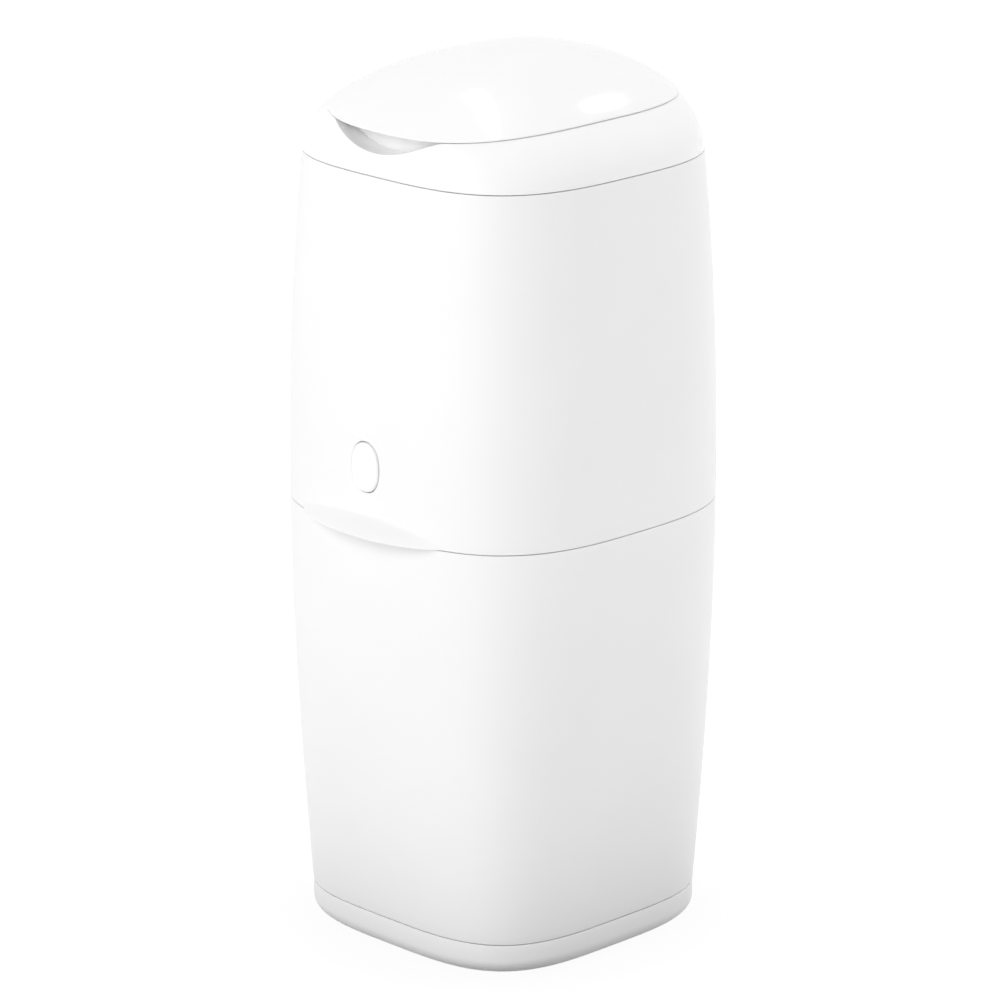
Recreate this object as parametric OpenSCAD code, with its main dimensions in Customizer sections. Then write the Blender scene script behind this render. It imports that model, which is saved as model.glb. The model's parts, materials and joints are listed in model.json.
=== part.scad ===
// Nappy bin: a bucket on a foot ring, an upper housing hinged at the back that holds a sprung clamp
// and a refill cassette, a sloping collar and a domed flip-up lid.
// Millimetres. The origin is on the floor under the middle of the bin, and the front faces -Y.

/* [Body] */
// Width and depth of the body at its widest
body_w = 226; // [210:1:240]
// Height of the widest level above the floor
waist_z = 275; // [268:1:290]
// Height of the seam between foot ring and bucket
foot_z = 22; // [21:0.5:27]
// Height of the seam between bucket and upper housing
seam_z = 267; // [255:1:275]
// Height of the seam between upper housing and collar
collar_z = 478; // [465:1:500]
// How far each side draws in between waist and foot seam
foot_draw = 14; // [8:0.5:18]
// How far each side draws in between waist and collar seam
collar_draw = 9; // [5:0.5:12]
// Squareness of the plan at the foot, where 2 is a circle
foot_square = 3.56; // [2.6:0.02:4]
// Squareness of the plan at the bucket's rim
seam_square = 3; // [2.6:0.02:4]
// Squareness of the plan at the collar seam
collar_square = 3.14; // [2.6:0.02:4]
// Wall of the outer mouldings
wall = 2.6; // [2.2:0.1:3.2]
// Height of the dark gap at each seam
shadow_gap = 0.6; // [0.4:0.1:1]

/* [Foot] */
// Radius of the rounded edge under the foot ring
foot_round = 10; // [6:0.5:12]
// How far the rubber feet stand out below the foot ring
feet_proud = 2; // [1:0.5:3]
// Radius of each rubber foot
feet_r = 9; // [7:0.5:11]
// Distance of each rubber foot from both middle planes
feet_off = 62; // [56:1:65]
// Distance of each foot screw from both middle planes
foot_screw_off = 42; // [36:1:46]
// Thickness of the floors of foot ring and bucket
floor_t = 3; // [2.4:0.2:4]

/* [Rim and main hinge] */
// Height of the bucket's upstand above the seam
upstand_h = 9; // [7:0.5:12]
// Thickness of the upstand
upstand_t = 2.4; // [2:0.1:3]
// Play between the upstand and the housing around it
upstand_play = 0.8; // [0.6:0.1:1.2]
// Height of the rubber rim seal
seal_h = 1.7; // [1.4:0.1:2.5]
// Gap left above a seal when the bin is shut
seal_gap = 0.3; // [0.2:0.1:0.6]
// Radius of the main hinge's knuckles
knuckle_r = 5.5; // [5:0.1:7]
// Radius of the main hinge pin
hinge_pin_r = 2.5; // [2:0.1:3]
// Half width of the housing's middle knuckle
knuckle_half = 27.7; // [20:0.1:32]
// Width of each of the bucket's hinge lugs
lug_w = 13.5; // [8:0.5:15]
// Gap between the main hinge's knuckles and the wall
hinge_gap = 1; // [0.7:0.1:1.5]

/* [Finger lip] */
// Width of the lip over the seam at the front
lip_w = 117; // [90:1:124]
// How far the lip stands out
lip_out = 12; // [8:0.5:14]
// Height over which the lip blends into the wall
lip_h = 12; // [9:0.5:16]

/* [Button and latch] */
// Height of the button's middle above the seam
button_up = 39; // [36:0.5:60]
// Width of the oval button
button_w = 22.4; // [18:0.2:26]
// Height of the oval button
button_h = 30; // [26:0.5:36]
// Gap all round the button
button_gap = 0.5; // [0.4:0.1:0.8]
// How far the button's face stands out of the wall
button_proud = 0.7; // [0:0.1:1.2]
// Travel of the button
button_travel = 4.5; // [4:0.1:5.5]
// Radius of the button's stem
stem_r = 5; // [4:0.1:5.5]
// Thickness of the hook's arm
hook_t = 3; // [2.5:0.1:4]
// Width of the hook's arm
hook_w = 14; // [10:0.5:15]
// How far the hook reaches under the keeper's ledge
hook_catch = 3; // [2:0.1:3.5]
// Thickness of the steel keeper
keeper_t = 1.6; // [1.2:0.1:2]

/* [Collar and lid] */
// Half width of the lid
lid_half = 88.4; // [86:0.2:92]
// Reach of the lid to the front
lid_front = 99.3; // [97:0.2:101]
// Reach of the lid to the back
lid_back = 100; // [97:0.2:101]
// Squareness of the lid's plan
lid_square = 2.65; // [2.3:0.05:3]
// Height of the lid's edge above the collar seam
lid_edge = 31.6; // [29:0.2:36]
// How far the edge droops at the front
lid_droop = 6.8; // [3:0.2:8]
// Height of the lid's crown above the collar seam
lid_crown = 56.4; // [52:0.2:62]
// How far the crown lies behind the middle
crown_back = 29.6; // [15:0.2:35]
// Width of the ledge that the lid's rim covers
land_w = 8.5; // [8:0.1:9.5]
// Width of the seal's seat inside the collar
seat_w = 6; // [5:0.2:7]
// Height of the seal's seat above the collar seam
seat_up = 19; // [17:0.5:20]
// Height of the lid's upright rim
lid_rim = 0.9; // [0.6:0.1:1.4]
// Width of the finger scoop in the collar
scoop_w = 90; // [70:1:96]
// Depth of the finger scoop
scoop_d = 11; // [6:0.5:11]
// Height of the finger scoop below the lid's edge
scoop_h = 11; // [6:0.5:12]
// How much further back the collar's inner wall lies behind the scoop
scoop_room = 6; // [5:0.5:7]
// Radius of the lid hinge's knuckles
lid_knuckle_r = 3.4; // [3.2:0.1:3.8]
// Radius of the lid's hinge pin
lid_pin_r = 1.5; // [1.3:0.1:1.8]
// Half width of the lid's knuckle
lid_knuckle_half = 18; // [14:0.5:19]
// Width of each of the collar's hinge lugs
lid_lug_w = 10; // [6:0.5:11]
// How far the lid's hinge lies below the lid's edge
lid_axis_down = 8.6; // [7.6:0.2:8.8]

/* [Deck and cassette] */
// How far the deck's seat lies below the collar seam
deck_down = 26; // [24:0.5:30]
// Thickness of the deck
deck_t = 3; // [2.4:0.2:4]
// Room between the refill cassette and the collar's throat at each side
cassette_play = 3.9; // [3:0.1:6]
// Width of the cassette's ring, from its outside to its throat
cassette_ring = 22; // [20:0.5:24]
// Height of the cassette
cassette_h = 26; // [22:0.5:27]
// Wall of the cassette
cassette_wall = 2; // [1.6:0.1:2.6]

/* [Clamp] */
// Half width of the chute's mouth over the jaws
mouth_half = 58; // [52:0.5:60]
// Half depth of the chute's mouth over the jaws
mouth_deep = 42; // [38:0.5:46]
// Height of the chute below the deck
chute_h = 21; // [18:0.5:26]
// Thickness of the clamp frame's plate
frame_t = 3; // [2.4:0.2:4]
// Distance of each guide rod beyond the side of the chute's mouth
rod_gap = 12; // [11.5:0.5:14]
// Radius of the guide rods
rod_r = 3; // [2.5:0.1:3.5]
// How far the rods lie below the clamp frame
rod_down = 14; // [12:0.5:18]
// How far the rods reach in front of the chute's mouth
rod_lead = 20; // [16:0.5:22]
// Travel of the sliding jaw
jaw_travel = 46; // [36:1:48]
// Where the jaws meet, in front of the middle
jaw_meet = 20; // [16:0.5:24]
// Height of the jaws' faces
jaw_h = 14; // [10:0.5:18]
// Thickness of the rubber jaw pads
pad_t = 2; // [1.5:0.1:3]
// Length of the sliding jaw's bosses on the rods
boss_l = 32; // [26:1:36]
// Turns of each jaw spring
spring_turns = 10; // [6:1:10]

/* [Cutter] */
// Width of the film cutter
cutter_w = 56; // [48:1:64]
// Depth of the film cutter from front to back
cutter_d = 16; // [12:0.5:18]
// Height of the film cutter
cutter_h = 26; // [22:0.5:30]
// Width of the slot that the film is pulled through
cutter_slot = 40; // [34:1:44]
// Thickness of the blade
blade_t = 1; // [0.6:0.1:1.2]

/* [Fit] */
// Running play between a pin or rod and its bore, on the radius
run_play = 0.06; // [0.03:0.01:0.09]
// Gap between neighbouring faces that nearly touch
face_gap = 0.3; // [0.2:0.05:0.5]

/* [Hidden] */
$fn = 48;
around = 60;
far = 400;
half_gap = shadow_gap / 2;
tight = 0.02;
spring_wire = 0.6;

// Foot and bucket floor
bucket_base = foot_z - 6;
bucket_floor = bucket_base + floor_t;
foot_floor = feet_proud + floor_t;
foot_top = foot_z - half_gap;
foot_lip = 0.4;
foot_screw_r = 1.8;
foot_boss_r = 5;
foot_boss_h = 9;
foot_rib_t = 1.8;

// Rim
rim_z = seam_z - half_gap;
housing_z = seam_z + half_gap;
upstand_in = wall + upstand_play;
upstand_inner = upstand_in + upstand_t;
upstand_top = seam_z + upstand_h;
rim_ledge_z = upstand_top + seal_h + seal_gap;
rim_ledge_t = 2.5;
rim_ledge_in = upstand_inner + 2;

// Main hinge
hinge_y = half_at(seam_z) + knuckle_r + hinge_gap;
lug_play = 0.6;
rib_h = 24;

// Button and latch
button_z = seam_z + button_up;
button_square = 2.2;
button_edge = 1.1;
button_crown = 0.3;
flange_t = 2;
flange_w = 2.4;
guide_up = button_h / 2 + flange_w + 1;
guide_t = 2.5;
guide_in = button_w / 2 + flange_w + 1.4;
wall_face = half_at(button_z + guide_up + guide_t) - wall - face_gap;
keeper_y = half_at(seam_z) - upstand_inner - face_gap;
keeper_down = 10;
keeper_half = hook_w / 2 + 7;
keeper_ledge_half = hook_w / 2 + 3;
keeper_ledge_z = seam_z + 2;
keeper_screw_x = hook_w / 2 + 4;
keeper_screw_z = seam_z - 4;
keeper_screw_r = 1.4;
keeper_screw_l = keeper_t + 4;
keeper_tip = keeper_y - keeper_t - hook_catch - 0.8;
hook_y = keeper_tip - 0.7;
hook_nose_h = 6;
latch_spring_turns = 5;
latch_spring_l = 2 * spring_wire * latch_spring_turns + button_travel + 4.5;
guide_y = hook_y - hook_t - latch_spring_l;
stem_end = guide_y - guide_t - 2;

// Collar and lid
skin = 2.6;
lid_t = 2.6;
seat_z = collar_z + seat_up;
crown_z = collar_z + lid_crown;
throat_in = land_w + seat_w;
throat_z = collar_z - 12;
spigot_z = collar_z - 8;
lid_axis_y = lid_back + lid_knuckle_r + 2.6;
lid_axis_z = collar_z + lid_edge - lid_axis_down;
liner_play = 2.5;
liner_in = land_w + liner_play;
liner_t = 2;
liner_z = seat_z + 2;
liner_top = 0.86;
post_x = 0.54 * lid_half;
post_y = 0.45 * lid_back;
post_back = 0.08 * lid_back;
post_r = 4;
post_screw_r = 1.3;
post_screw_l = 12;

// Deck and cassette
deck_z = collar_z - deck_down;
deck_top = deck_z + deck_t;
shelf_in = 9;
shelf_t = 3;
deck_screw_r = 1.5;
deck_screw_l = 11;
deck_boss_r = 4;
deck_boss_h = 12;
deck_screw_off = corner_at(deck_z, wall + deck_boss_r + 0.6);
cassette_r = lid_half - throat_in - cassette_play;
throat_r = cassette_r - cassette_ring;
cassette_z = deck_top + face_gap;
cassette_base = 2;
locator_r = cassette_r + 0.8;
locator_h = 7;
cap_t = 3;
cap_down = 5;

// Clamp
chute_t = 2.4;
chute_square = 5.5;
frame_top = deck_z - chute_h;
frame_z = frame_top - frame_t;
frame_play = 1;
rod_off = mouth_half + rod_gap;
rod_z = frame_z - rod_down;
pillar_y = mouth_deep - 8;
pillar_r = 4.5;
pillar_screw_r = 1.5;
pillar_screw_l = frame_t + 10;
lug_half = 6;
lug_t = 6;
front_lug_y = -mouth_deep - rod_lead;
rear_lug_y = reach_at(rod_off + lug_half, frame_top, wall + frame_play) - lug_t;
spring_shut = 2 * spring_wire * spring_turns + 1;
boss_back = rear_lug_y - jaw_travel - spring_shut;
boss_front = boss_back - boss_l;
jaw_t = 3;
jaw_half = mouth_half + 2;
jaw_face = -jaw_meet + face_gap / 2 + pad_t;
fixed_face = -jaw_meet - face_gap / 2 - pad_t;
jaw_back = mouth_deep + 4;
jaw_ribs = [-0.75, -0.25, 0.25, 0.75];
rib_t = 1.8;

// Cutter
cutter_in = 22;
cutter_y = wall + frame_play + cutter_in - half_at(frame_top);
cutter_neck = 0.46 * cutter_h;
blade_top = 0.32 * cutter_h;
blade_half = cutter_slot / 2 + 1.5;

// Half width of the body at height z
function half_at(z) = z > waist_z
    ? body_w / 2 - collar_draw * pow((z - waist_z) / (collar_z - waist_z), 2)
    : body_w / 2 - foot_draw * pow((waist_z - z) / (waist_z - foot_z), 1.5);

// Squareness of the body's plan at height z
function square_at(z) = z < seam_z
    ? lerp(foot_square, seam_square, (z - foot_z) / (seam_z - foot_z))
    : lerp(seam_square, collar_square, (z - seam_z) / (collar_z - seam_z));

function lerp(a, b, u) = a + (b - a) * u;
function unit(u) = min(1, max(0, u));
function ease(u) = u * u * (3 - 2 * u);

// Plan outline with half width a, reaching front and back by their own amounts
function outline(a, front, back, n) = [
    for (i = [0:around - 1])
        let (
            t = 360 * i / around,
            b = sin(t) < 0 ? front : back,
            r = pow(pow(abs(cos(t)) / a, n) + pow(abs(sin(t)) / b, n), -1 / n)
        )
        [r * cos(t), r * sin(t)]
];

function at_height(points, z) = [for (p = points) [p[0], p[1], z]];

// Level ring of the body, drawn in from its outer face
function body_ring(z, inset) = plan_ring(z, inset, z);

// Ring at height z that keeps the body's plan at another height
function plan_ring(z, inset, plan_z) =
    let (h = half_at(plan_z) - inset) at_height(outline(h, h, h, square_at(plan_z)), z);

// Distance from the middle to the body's corner, and to its front or back beside the middle
function corner_at(z, inset) = (half_at(z) - inset) * pow(0.5, 1 / square_at(z));
function reach_at(x, z, inset) =
    let (h = half_at(z) - inset, n = square_at(z)) h * pow(1 - pow(x / h, n), 1 / n);

function round_ring(z, r) = at_height(outline(r, r, r, 2), z);

// Plan of the lid, drawn in from its edge
function lid_outline(inset) =
    outline(lid_half - inset, lid_front - inset, lid_back - inset, lid_square);

// Plan of what lies inside the collar's wall, which stands further back at the front, behind the scoop
function inner_outline(inset) =
    outline(lid_half - inset, lid_front - inset - scoop_room, lid_back - inset, lid_square);
function inner_ring(z, inset) = at_height(inner_outline(inset), z);

// Height of the joint between collar and lid at depth y
function edge_z(y) = collar_z + lid_edge - lid_droop * pow(min(y, 0) / lid_front, 2);

// Ring at the joint between collar and lid, which droops to the front
function edge_ring(inset, up) =
    [for (p = lid_outline(inset)) [p[0], p[1], edge_z(p[1]) + up]];

// Outward push of the finger lip at a point of the housing: upright at the seam, with a cove above
function lip_push(x, z, depth) =
    let (
        b = 1 - pow(2 * x / lip_w, 2),
        u = (z - housing_z) / (lip_h * sqrt(max(b, 0.001)))
    )
    b <= 0 || u >= 1 ? 0 : depth * pow(b, 0.8) * (1 - ease(unit(u)));

function housing_ring(z, inset, lip) =
    [for (p = body_ring(z, inset)) [p[0], p[1] < 0 ? p[1] - lip_push(p[0], z, lip) : p[1], z]];

// Collar's outer face at height fraction h
function collar_ring(h) =
    let (
        bulge = 2.07,
        sweep = 40.8,
        s = asin(pow(h, bulge / 2) * sin(sweep)),
        g = (1 - pow(cos(s), 2 / bulge)) / (1 - pow(cos(sweep), 2 / bulge)),
        low = body_ring(collar_z, 0),
        high = edge_ring(0, -half_gap)
    )
    [
        for (i = [0:around - 1]) [
            lerp(low[i][0], high[i][0], g),
            lerp(low[i][1], high[i][1], g),
            lerp(collar_z + half_gap, high[i][2], h)
        ]
    ];

// Height of the finger scoop's floor beside the middle
function scoop_floor(x) =
    let (edge_y = -lid_front * pow(1 - pow(abs(x) / lid_half, lid_square), 1 / lid_square))
    edge_z(edge_y) - half_gap - scoop_h * pow(unit(1 - pow(2 * x / scoop_w, 2)), 1.35);

// Ring under the seal's seat, which dips to leave a skin under the scoop
function seat_under_ring(ring) =
    [for (p = ring) [p[0], p[1], p[1] < 0 ? min(p[2], scoop_floor(p[0]) - skin) : p[2]]];

// Ring on the lid's dome: share runs from 0 at the crown to 1 at the edge
function dome_ring(share, inset, drop, rise = 0) = [
    for (p = lid_outline(inset))
        let (low = edge_z(p[1]) + half_gap + rise, high = crown_z - drop)
        [
            p[0] * share,
            lerp(crown_back, p[1], share),
            lerp(low, high, 1 - pow(share, 2.8))
        ]
];

// Outline of the button, grown all round
function button_outline(grow) =
    outline(button_w / 2 + grow, button_h / 2 + grow, button_h / 2 + grow, button_square);

// Skin through a stack of rings. Closed: the last ring joins the first. Open: both ends are capped.
module loft(rings, closed = false) {
    n = len(rings[0]);
    m = len(rings);
    last = closed ? m - 1 : m - 2;
    sides = [
        for (i = [0:last], j = [0:n - 1])
            let (a = i * n, b = (i + 1) % m * n, k = (j + 1) % n)
            each [[a + j, b + j, b + k], [a + j, b + k, a + k]]
    ];
    caps = closed ? [] : [[for (j = [0:n - 1]) j], [for (j = [n - 1:-1:0]) (m - 1) * n + j]];
    polyhedron([for (r = rings) each r], concat(sides, caps), convexity = 8);
}

module along_x(from, to) translate([from, 0, 0]) rotate([90, 0, 90]) linear_extrude(to - from) children();
module along_y(from, to) translate([0, to, 0]) rotate([90, 0, 0]) linear_extrude(to - from) children();
module at_corners(x, y) for (sx = [-1, 1], sy = [-1, 1]) translate([sx * x, sy * y, 0]) children();
module both_sides() for (s = [0, 1]) mirror([s, 0, 0]) children();

// Block between two corners
module block(low, high) translate(low) cube(high - low);

// Compression spring standing on z = 0
module coil(r, wire, turns, length) {
    steps = 10 * turns;
    loft([
        for (i = [0:steps])
            let (a = 360 * turns * i / steps, z = lerp(wire, length - wire, i / steps))
            [
                for (q = [0:72:359])
                    let (out = r + wire * cos(q))
                    [out * cos(a), out * sin(a), z - wire * sin(q)]
            ]
    ]);
}

// Pan-head screw with its head below z = 0 and its shank pointing up
module screw(shank_r, length) {
    head_r = 1.9 * shank_r;
    head_h = 1.2 * shank_r;
    recess = [1.1 * head_r, 0.25 * head_r, head_h];
    difference() {
        union() {
            translate([0, 0, -head_h]) cylinder(r = head_r, h = head_h);
            cylinder(r = shank_r, h = length - shank_r);
            translate([0, 0, length - shank_r]) cylinder(r1 = shank_r, r2 = 0.25 * shank_r, h = shank_r);
        }
        for (a = [0, 90])
            rotate(a) translate([0, 0, -head_h]) cube(recess, center = true);
    }
}

module foot_ring() color("whitesmoke")
difference() {
    union() {
        loft(concat(
            [
                for (a = [0:15:90])
                    foot_plan(feet_proud + foot_round * (1 - cos(a)), foot_round * (1 - sin(a)))
            ],
            [
                foot_plan(foot_top, 0),
                foot_plan(foot_top, wall),
                foot_plan(feet_proud + foot_round, wall),
                foot_plan(foot_floor, wall + 5)
            ]
        ));
        at_corners(foot_screw_off, foot_screw_off) {
            translate([0, 0, feet_proud + 1]) cylinder(r = foot_boss_r, h = bucket_base - feet_proud - 1);
            for (a = [0, 90])
                rotate(a) block(
                    [-2 * foot_boss_r, -foot_rib_t / 2, feet_proud + 1],
                    [2 * foot_boss_r, foot_rib_t / 2, bucket_base - 2]
                );
        }
    }
    at_corners(feet_off, feet_off)
        translate([0, 0, feet_proud - 1]) cylinder(r = feet_r + tight, h = 1 + floor_t / 2);
    at_corners(foot_screw_off, foot_screw_off) {
        translate([0, 0, -1]) cylinder(r = foot_screw_r + 0.4, h = far);
        translate([0, 0, feet_proud - 1]) cylinder(r = 2.2 * foot_screw_r, h = 1 + 1.4 * foot_screw_r);
    }
}

// Ring that keeps the plan of the foot seam
function foot_plan(z, inset) = plan_ring(z, inset, foot_z);

module rubber_feet() color("dimgray")
at_corners(feet_off, feet_off)
    rotate_extrude() polygon([
        [0, 0], [feet_r - 1, 0], [feet_r, 1], [feet_r, feet_proud + floor_t / 2 - tight],
        [0, feet_proud + floor_t / 2 - tight]
    ]);

module foot_screws() color("silver")
at_corners(foot_screw_off, foot_screw_off)
    translate([0, 0, feet_proud + 1.4 * foot_screw_r])
        screw(foot_screw_r, bucket_base + 0.75 * foot_boss_h - feet_proud - 1.4 * foot_screw_r);

module lower_bucket() color("white")
difference() {
    union() {
        loft(concat(
            [
                foot_plan(bucket_base, wall + foot_lip + 2),
                foot_plan(bucket_base + 2, wall + foot_lip),
                foot_plan(foot_z + half_gap, wall + foot_lip)
            ],
            [for (i = [0:8]) body_ring(lerp(foot_z + half_gap, rim_z, sin(90 * i / 8)), 0)],
            [
                body_ring(rim_z, upstand_in),
                body_ring(upstand_top - 1, upstand_in),
                body_ring(upstand_top, upstand_in + 0.5),
                body_ring(upstand_top, upstand_inner),
                body_ring(seam_z - 5, upstand_inner),
                body_ring(seam_z - 12, wall)
            ],
            [for (i = [5:-1:1]) body_ring(lerp(foot_z + 4, seam_z - 20, sin(90 * i / 6)), wall)],
            [
                foot_plan(foot_z + 4, wall + 1.5),
                foot_plan(bucket_floor, wall + 6)
            ]
        ));
        at_corners(foot_screw_off, foot_screw_off)
            translate([0, 0, bucket_base + 1]) cylinder(r = foot_boss_r, h = foot_boss_h);
        both_sides() hinge_lug(knuckle_half + lug_play, knuckle_half + lug_play + lug_w);
    }
    at_corners(foot_screw_off, foot_screw_off)
        translate([0, 0, bucket_base - 1]) cylinder(r = foot_screw_r + tight, h = foot_boss_h - 0.5);
    both_sides() translate([keeper_screw_x, 0, keeper_screw_z])
        along_y(-keeper_y + keeper_t - keeper_screw_l - 0.4, -keeper_y + 2)
            circle(r = keeper_screw_r + tight);
    translate([0, hinge_y, seam_z])
        along_x(-far / 2, far / 2) circle(r = hinge_pin_r + tight);
}

// One of the bucket's hinge lugs, with a rib that tapers down the wall
module hinge_lug(from, to)
translate([0, hinge_y, seam_z])
along_x(from, to) {
    root = -knuckle_r - hinge_gap - wall;
    circle(r = knuckle_r);
    polygon([
        [0, -knuckle_r], [0, -half_gap], [root + 0.5, -half_gap], [root + 0.5, -rib_h], [root + 2.1, -rib_h]
    ]);
}

module rim_seal() color("gray")
loft(closed = true, [
    body_ring(upstand_top, upstand_in + 0.5),
    body_ring(upstand_top + seal_h, upstand_in + 0.9),
    body_ring(upstand_top + seal_h, upstand_inner - 0.4),
    body_ring(upstand_top, upstand_inner)
]);

module latch_keeper() color("silver")
difference() {
    union() {
        block([-keeper_half, -keeper_y, seam_z - keeper_down],
            [keeper_half, -keeper_y + keeper_t, upstand_top - 1]);
        block([-keeper_ledge_half, -keeper_y, keeper_ledge_z],
            [keeper_ledge_half, -keeper_tip, keeper_ledge_z + keeper_t]);
    }
    both_sides() translate([keeper_screw_x, 0, keeper_screw_z])
        along_y(-keeper_y - 1, -keeper_y + keeper_t + 1) circle(r = keeper_screw_r + 0.2);
}

module keeper_screws() color("silver")
both_sides() translate([keeper_screw_x, -keeper_y + keeper_t, keeper_screw_z])
    rotate([90, 0, 0]) screw(keeper_screw_r, keeper_screw_l);

module main_hinge_pin() color("silver")
translate([0, hinge_y, seam_z])
    along_x(-knuckle_half - lug_play - lug_w, knuckle_half + lug_play + lug_w) circle(r = hinge_pin_r);

module upper_housing() color("white")
difference() {
    union() {
        loft(closed = true, concat(
            [
                for (i = [0:6])
                    housing_ring(lerp(housing_z, seam_z + lip_h + 1, i / 6), 0, lip_out)
            ],
            [for (i = [1:7]) body_ring(lerp(seam_z + lip_h + 1, collar_z - half_gap, i / 7), 0)],
            [
                body_ring(collar_z - half_gap, wall),
                body_ring(deck_z, wall),
                body_ring(deck_z, shelf_in),
                body_ring(deck_z - shelf_t, shelf_in),
                body_ring(deck_z - shelf_t - shelf_in + wall, wall)
            ],
            [for (i = [3:-1:1]) body_ring(lerp(rim_ledge_z + 9, deck_z - 20, i / 4), wall)],
            [
                body_ring(rim_ledge_z + rim_ledge_t + 4, wall),
                body_ring(rim_ledge_z + rim_ledge_t, rim_ledge_in),
                body_ring(rim_ledge_z, rim_ledge_in),
                body_ring(rim_ledge_z, wall),
                housing_ring(housing_z + lip_h / 2, wall, lip_out - wall),
                housing_ring(housing_z + lip_h / 4, wall, lip_out - wall),
                housing_ring(housing_z, wall, lip_out - wall)
            ]
        ));
        at_corners(deck_screw_off, deck_screw_off)
            translate([0, 0, deck_z - deck_boss_h]) cylinder(r = deck_boss_r, h = deck_boss_h - 1);
        housing_knuckle();
    }
    at_corners(deck_screw_off, deck_screw_off)
        translate([0, 0, deck_top - deck_screw_l - 2]) cylinder(r = deck_screw_r + tight, h = far);
    translate([0, hinge_y, seam_z])
        along_x(-far / 2, far / 2) circle(r = hinge_pin_r + run_play);
    translate([0, 0, button_z])
        along_y(-far / 2, -wall_face + 6) polygon(button_outline(button_gap));
}

// The housing's middle knuckle, with a rib that tapers up the wall
module housing_knuckle()
translate([0, hinge_y, seam_z])
along_x(-knuckle_half, knuckle_half) {
    root = -knuckle_r - hinge_gap - wall;
    circle(r = knuckle_r);
    polygon([
        [0, knuckle_r], [0, half_gap], [root + 1.5, half_gap], [root + 1.5, rib_h], [root + 3, rib_h]
    ]);
}

module collar() color("white")
difference() {
    union() {
        loft(closed = true, concat(
            [for (h = [0, 0.25, 0.48, 0.66, 0.76, 0.86, 0.94, 1]) collar_ring(h)],
            [
                [for (p = inner_outline(land_w)) [p[0], p[1], edge_z(p[1]) - half_gap]],
                inner_ring(seat_z, land_w),
                inner_ring(seat_z, throat_in),
                inner_ring(throat_z, throat_in),
                inner_ring(throat_z, throat_in - 2),
                seat_under_ring(inner_ring(seat_z - 4, throat_in - 2)),
                seat_under_ring(plan_ring(seat_z - 4, skin + 4.5, collar_z)),
                plan_ring(collar_z + 3, wall + face_gap + 2.2, collar_z),
                body_ring(spigot_z, wall + face_gap + 2.2),
                body_ring(spigot_z, wall + face_gap),
                plan_ring(collar_z + half_gap, wall + face_gap, collar_z)
            ]
        ));
        both_sides() lid_lug(lid_knuckle_half + lug_play, lid_knuckle_half + lug_play + lid_lug_w);
    }
    scoop();
    translate([0, lid_axis_y, lid_axis_z])
        along_x(-far / 2, far / 2) circle(r = lid_pin_r + tight);
}

// One of the collar's hinge lugs, with a root inside the collar's back
module lid_lug(from, to)
translate([0, lid_axis_y, lid_axis_z])
along_x(from, to) {
    circle(r = lid_knuckle_r);
    polygon([
        [0, -lid_knuckle_r], [0, lid_knuckle_r], [-lid_knuckle_r - 5, lid_knuckle_r],
        [-lid_knuckle_r - 5, -3 * lid_knuckle_r]
    ]);
}

// Pocket for the fingers under the lid's front edge: an arched floor and a curved back wall
module scoop()
difference() {
    top = collar_z + lid_edge + 1;
    along_y(-far / 2, 0)
        polygon(concat(
            [[-scoop_w / 2, top]],
            [for (i = [-14:14]) let (x = i / 14 * scoop_w / 2) [x, scoop_floor(x)]],
            [[scoop_w / 2, top]]
        ));
    translate([0, 0, collar_z])
        linear_extrude(far)
            polygon(outline(lid_half, lid_front - scoop_d, lid_back, lid_square));
}

module cassette_deck() color("lightgray")
difference() {
    union() {
        loft(closed = true, [
            body_ring(deck_z, wall + face_gap),
            body_ring(deck_top, wall + face_gap),
            round_ring(deck_top, locator_r + 2),
            round_ring(deck_top + locator_h, locator_r + 1.6),
            round_ring(deck_top + locator_h, locator_r),
            round_ring(deck_top, locator_r),
            round_ring(deck_top, throat_r + 2),
            mouth_ring(0),
            mouth_ring(chute_t),
            round_ring(deck_z, throat_r + 2 + deck_t)
        ]);
        at_corners(rod_off, pillar_y)
            translate([0, 0, frame_top]) cylinder(r = pillar_r, h = chute_h + deck_t / 2);
    }
    at_corners(deck_screw_off, deck_screw_off)
        translate([0, 0, deck_z - 1]) cylinder(r = deck_screw_r + 0.4, h = far);
    at_corners(rod_off, pillar_y)
        translate([0, 0, frame_top - 1]) cylinder(r = pillar_screw_r + tight, h = pillar_screw_l);
}

// Plan of the chute's mouth, and its ring at the foot of the chute
function mouth_outline(grow) =
    outline(mouth_half + grow, mouth_deep + grow, mouth_deep + grow, chute_square);
function mouth_ring(grow) = at_height(mouth_outline(grow), frame_top);

module deck_screws() color("silver")
at_corners(deck_screw_off, deck_screw_off)
    translate([0, 0, deck_top]) mirror([0, 0, 1]) screw(deck_screw_r, deck_screw_l);

module clamp_frame() color("lightgray")
difference() {
    union() {
        translate([0, 0, frame_z]) linear_extrude(frame_t) difference() {
            polygon([for (p = body_ring(frame_top, wall + frame_play)) [p[0], p[1]]]);
            polygon(mouth_outline(0));
        }
        both_sides() for (y = [front_lug_y, rear_lug_y])
            block([rod_off - lug_half, y, rod_z - lug_half], [rod_off + lug_half, y + lug_t, frame_z + 1]);
    }
    at_corners(rod_off, pillar_y)
        translate([0, 0, frame_z - 1]) cylinder(r = pillar_screw_r + 0.4, h = far);
    both_sides() translate([rod_off, 0, rod_z])
        along_y(front_lug_y - 1, rear_lug_y + lug_t + 1) circle(r = rod_r + tight);
}

module clamp_screws() color("silver")
at_corners(rod_off, pillar_y)
    translate([0, 0, frame_z]) screw(pillar_screw_r, pillar_screw_l);

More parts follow.
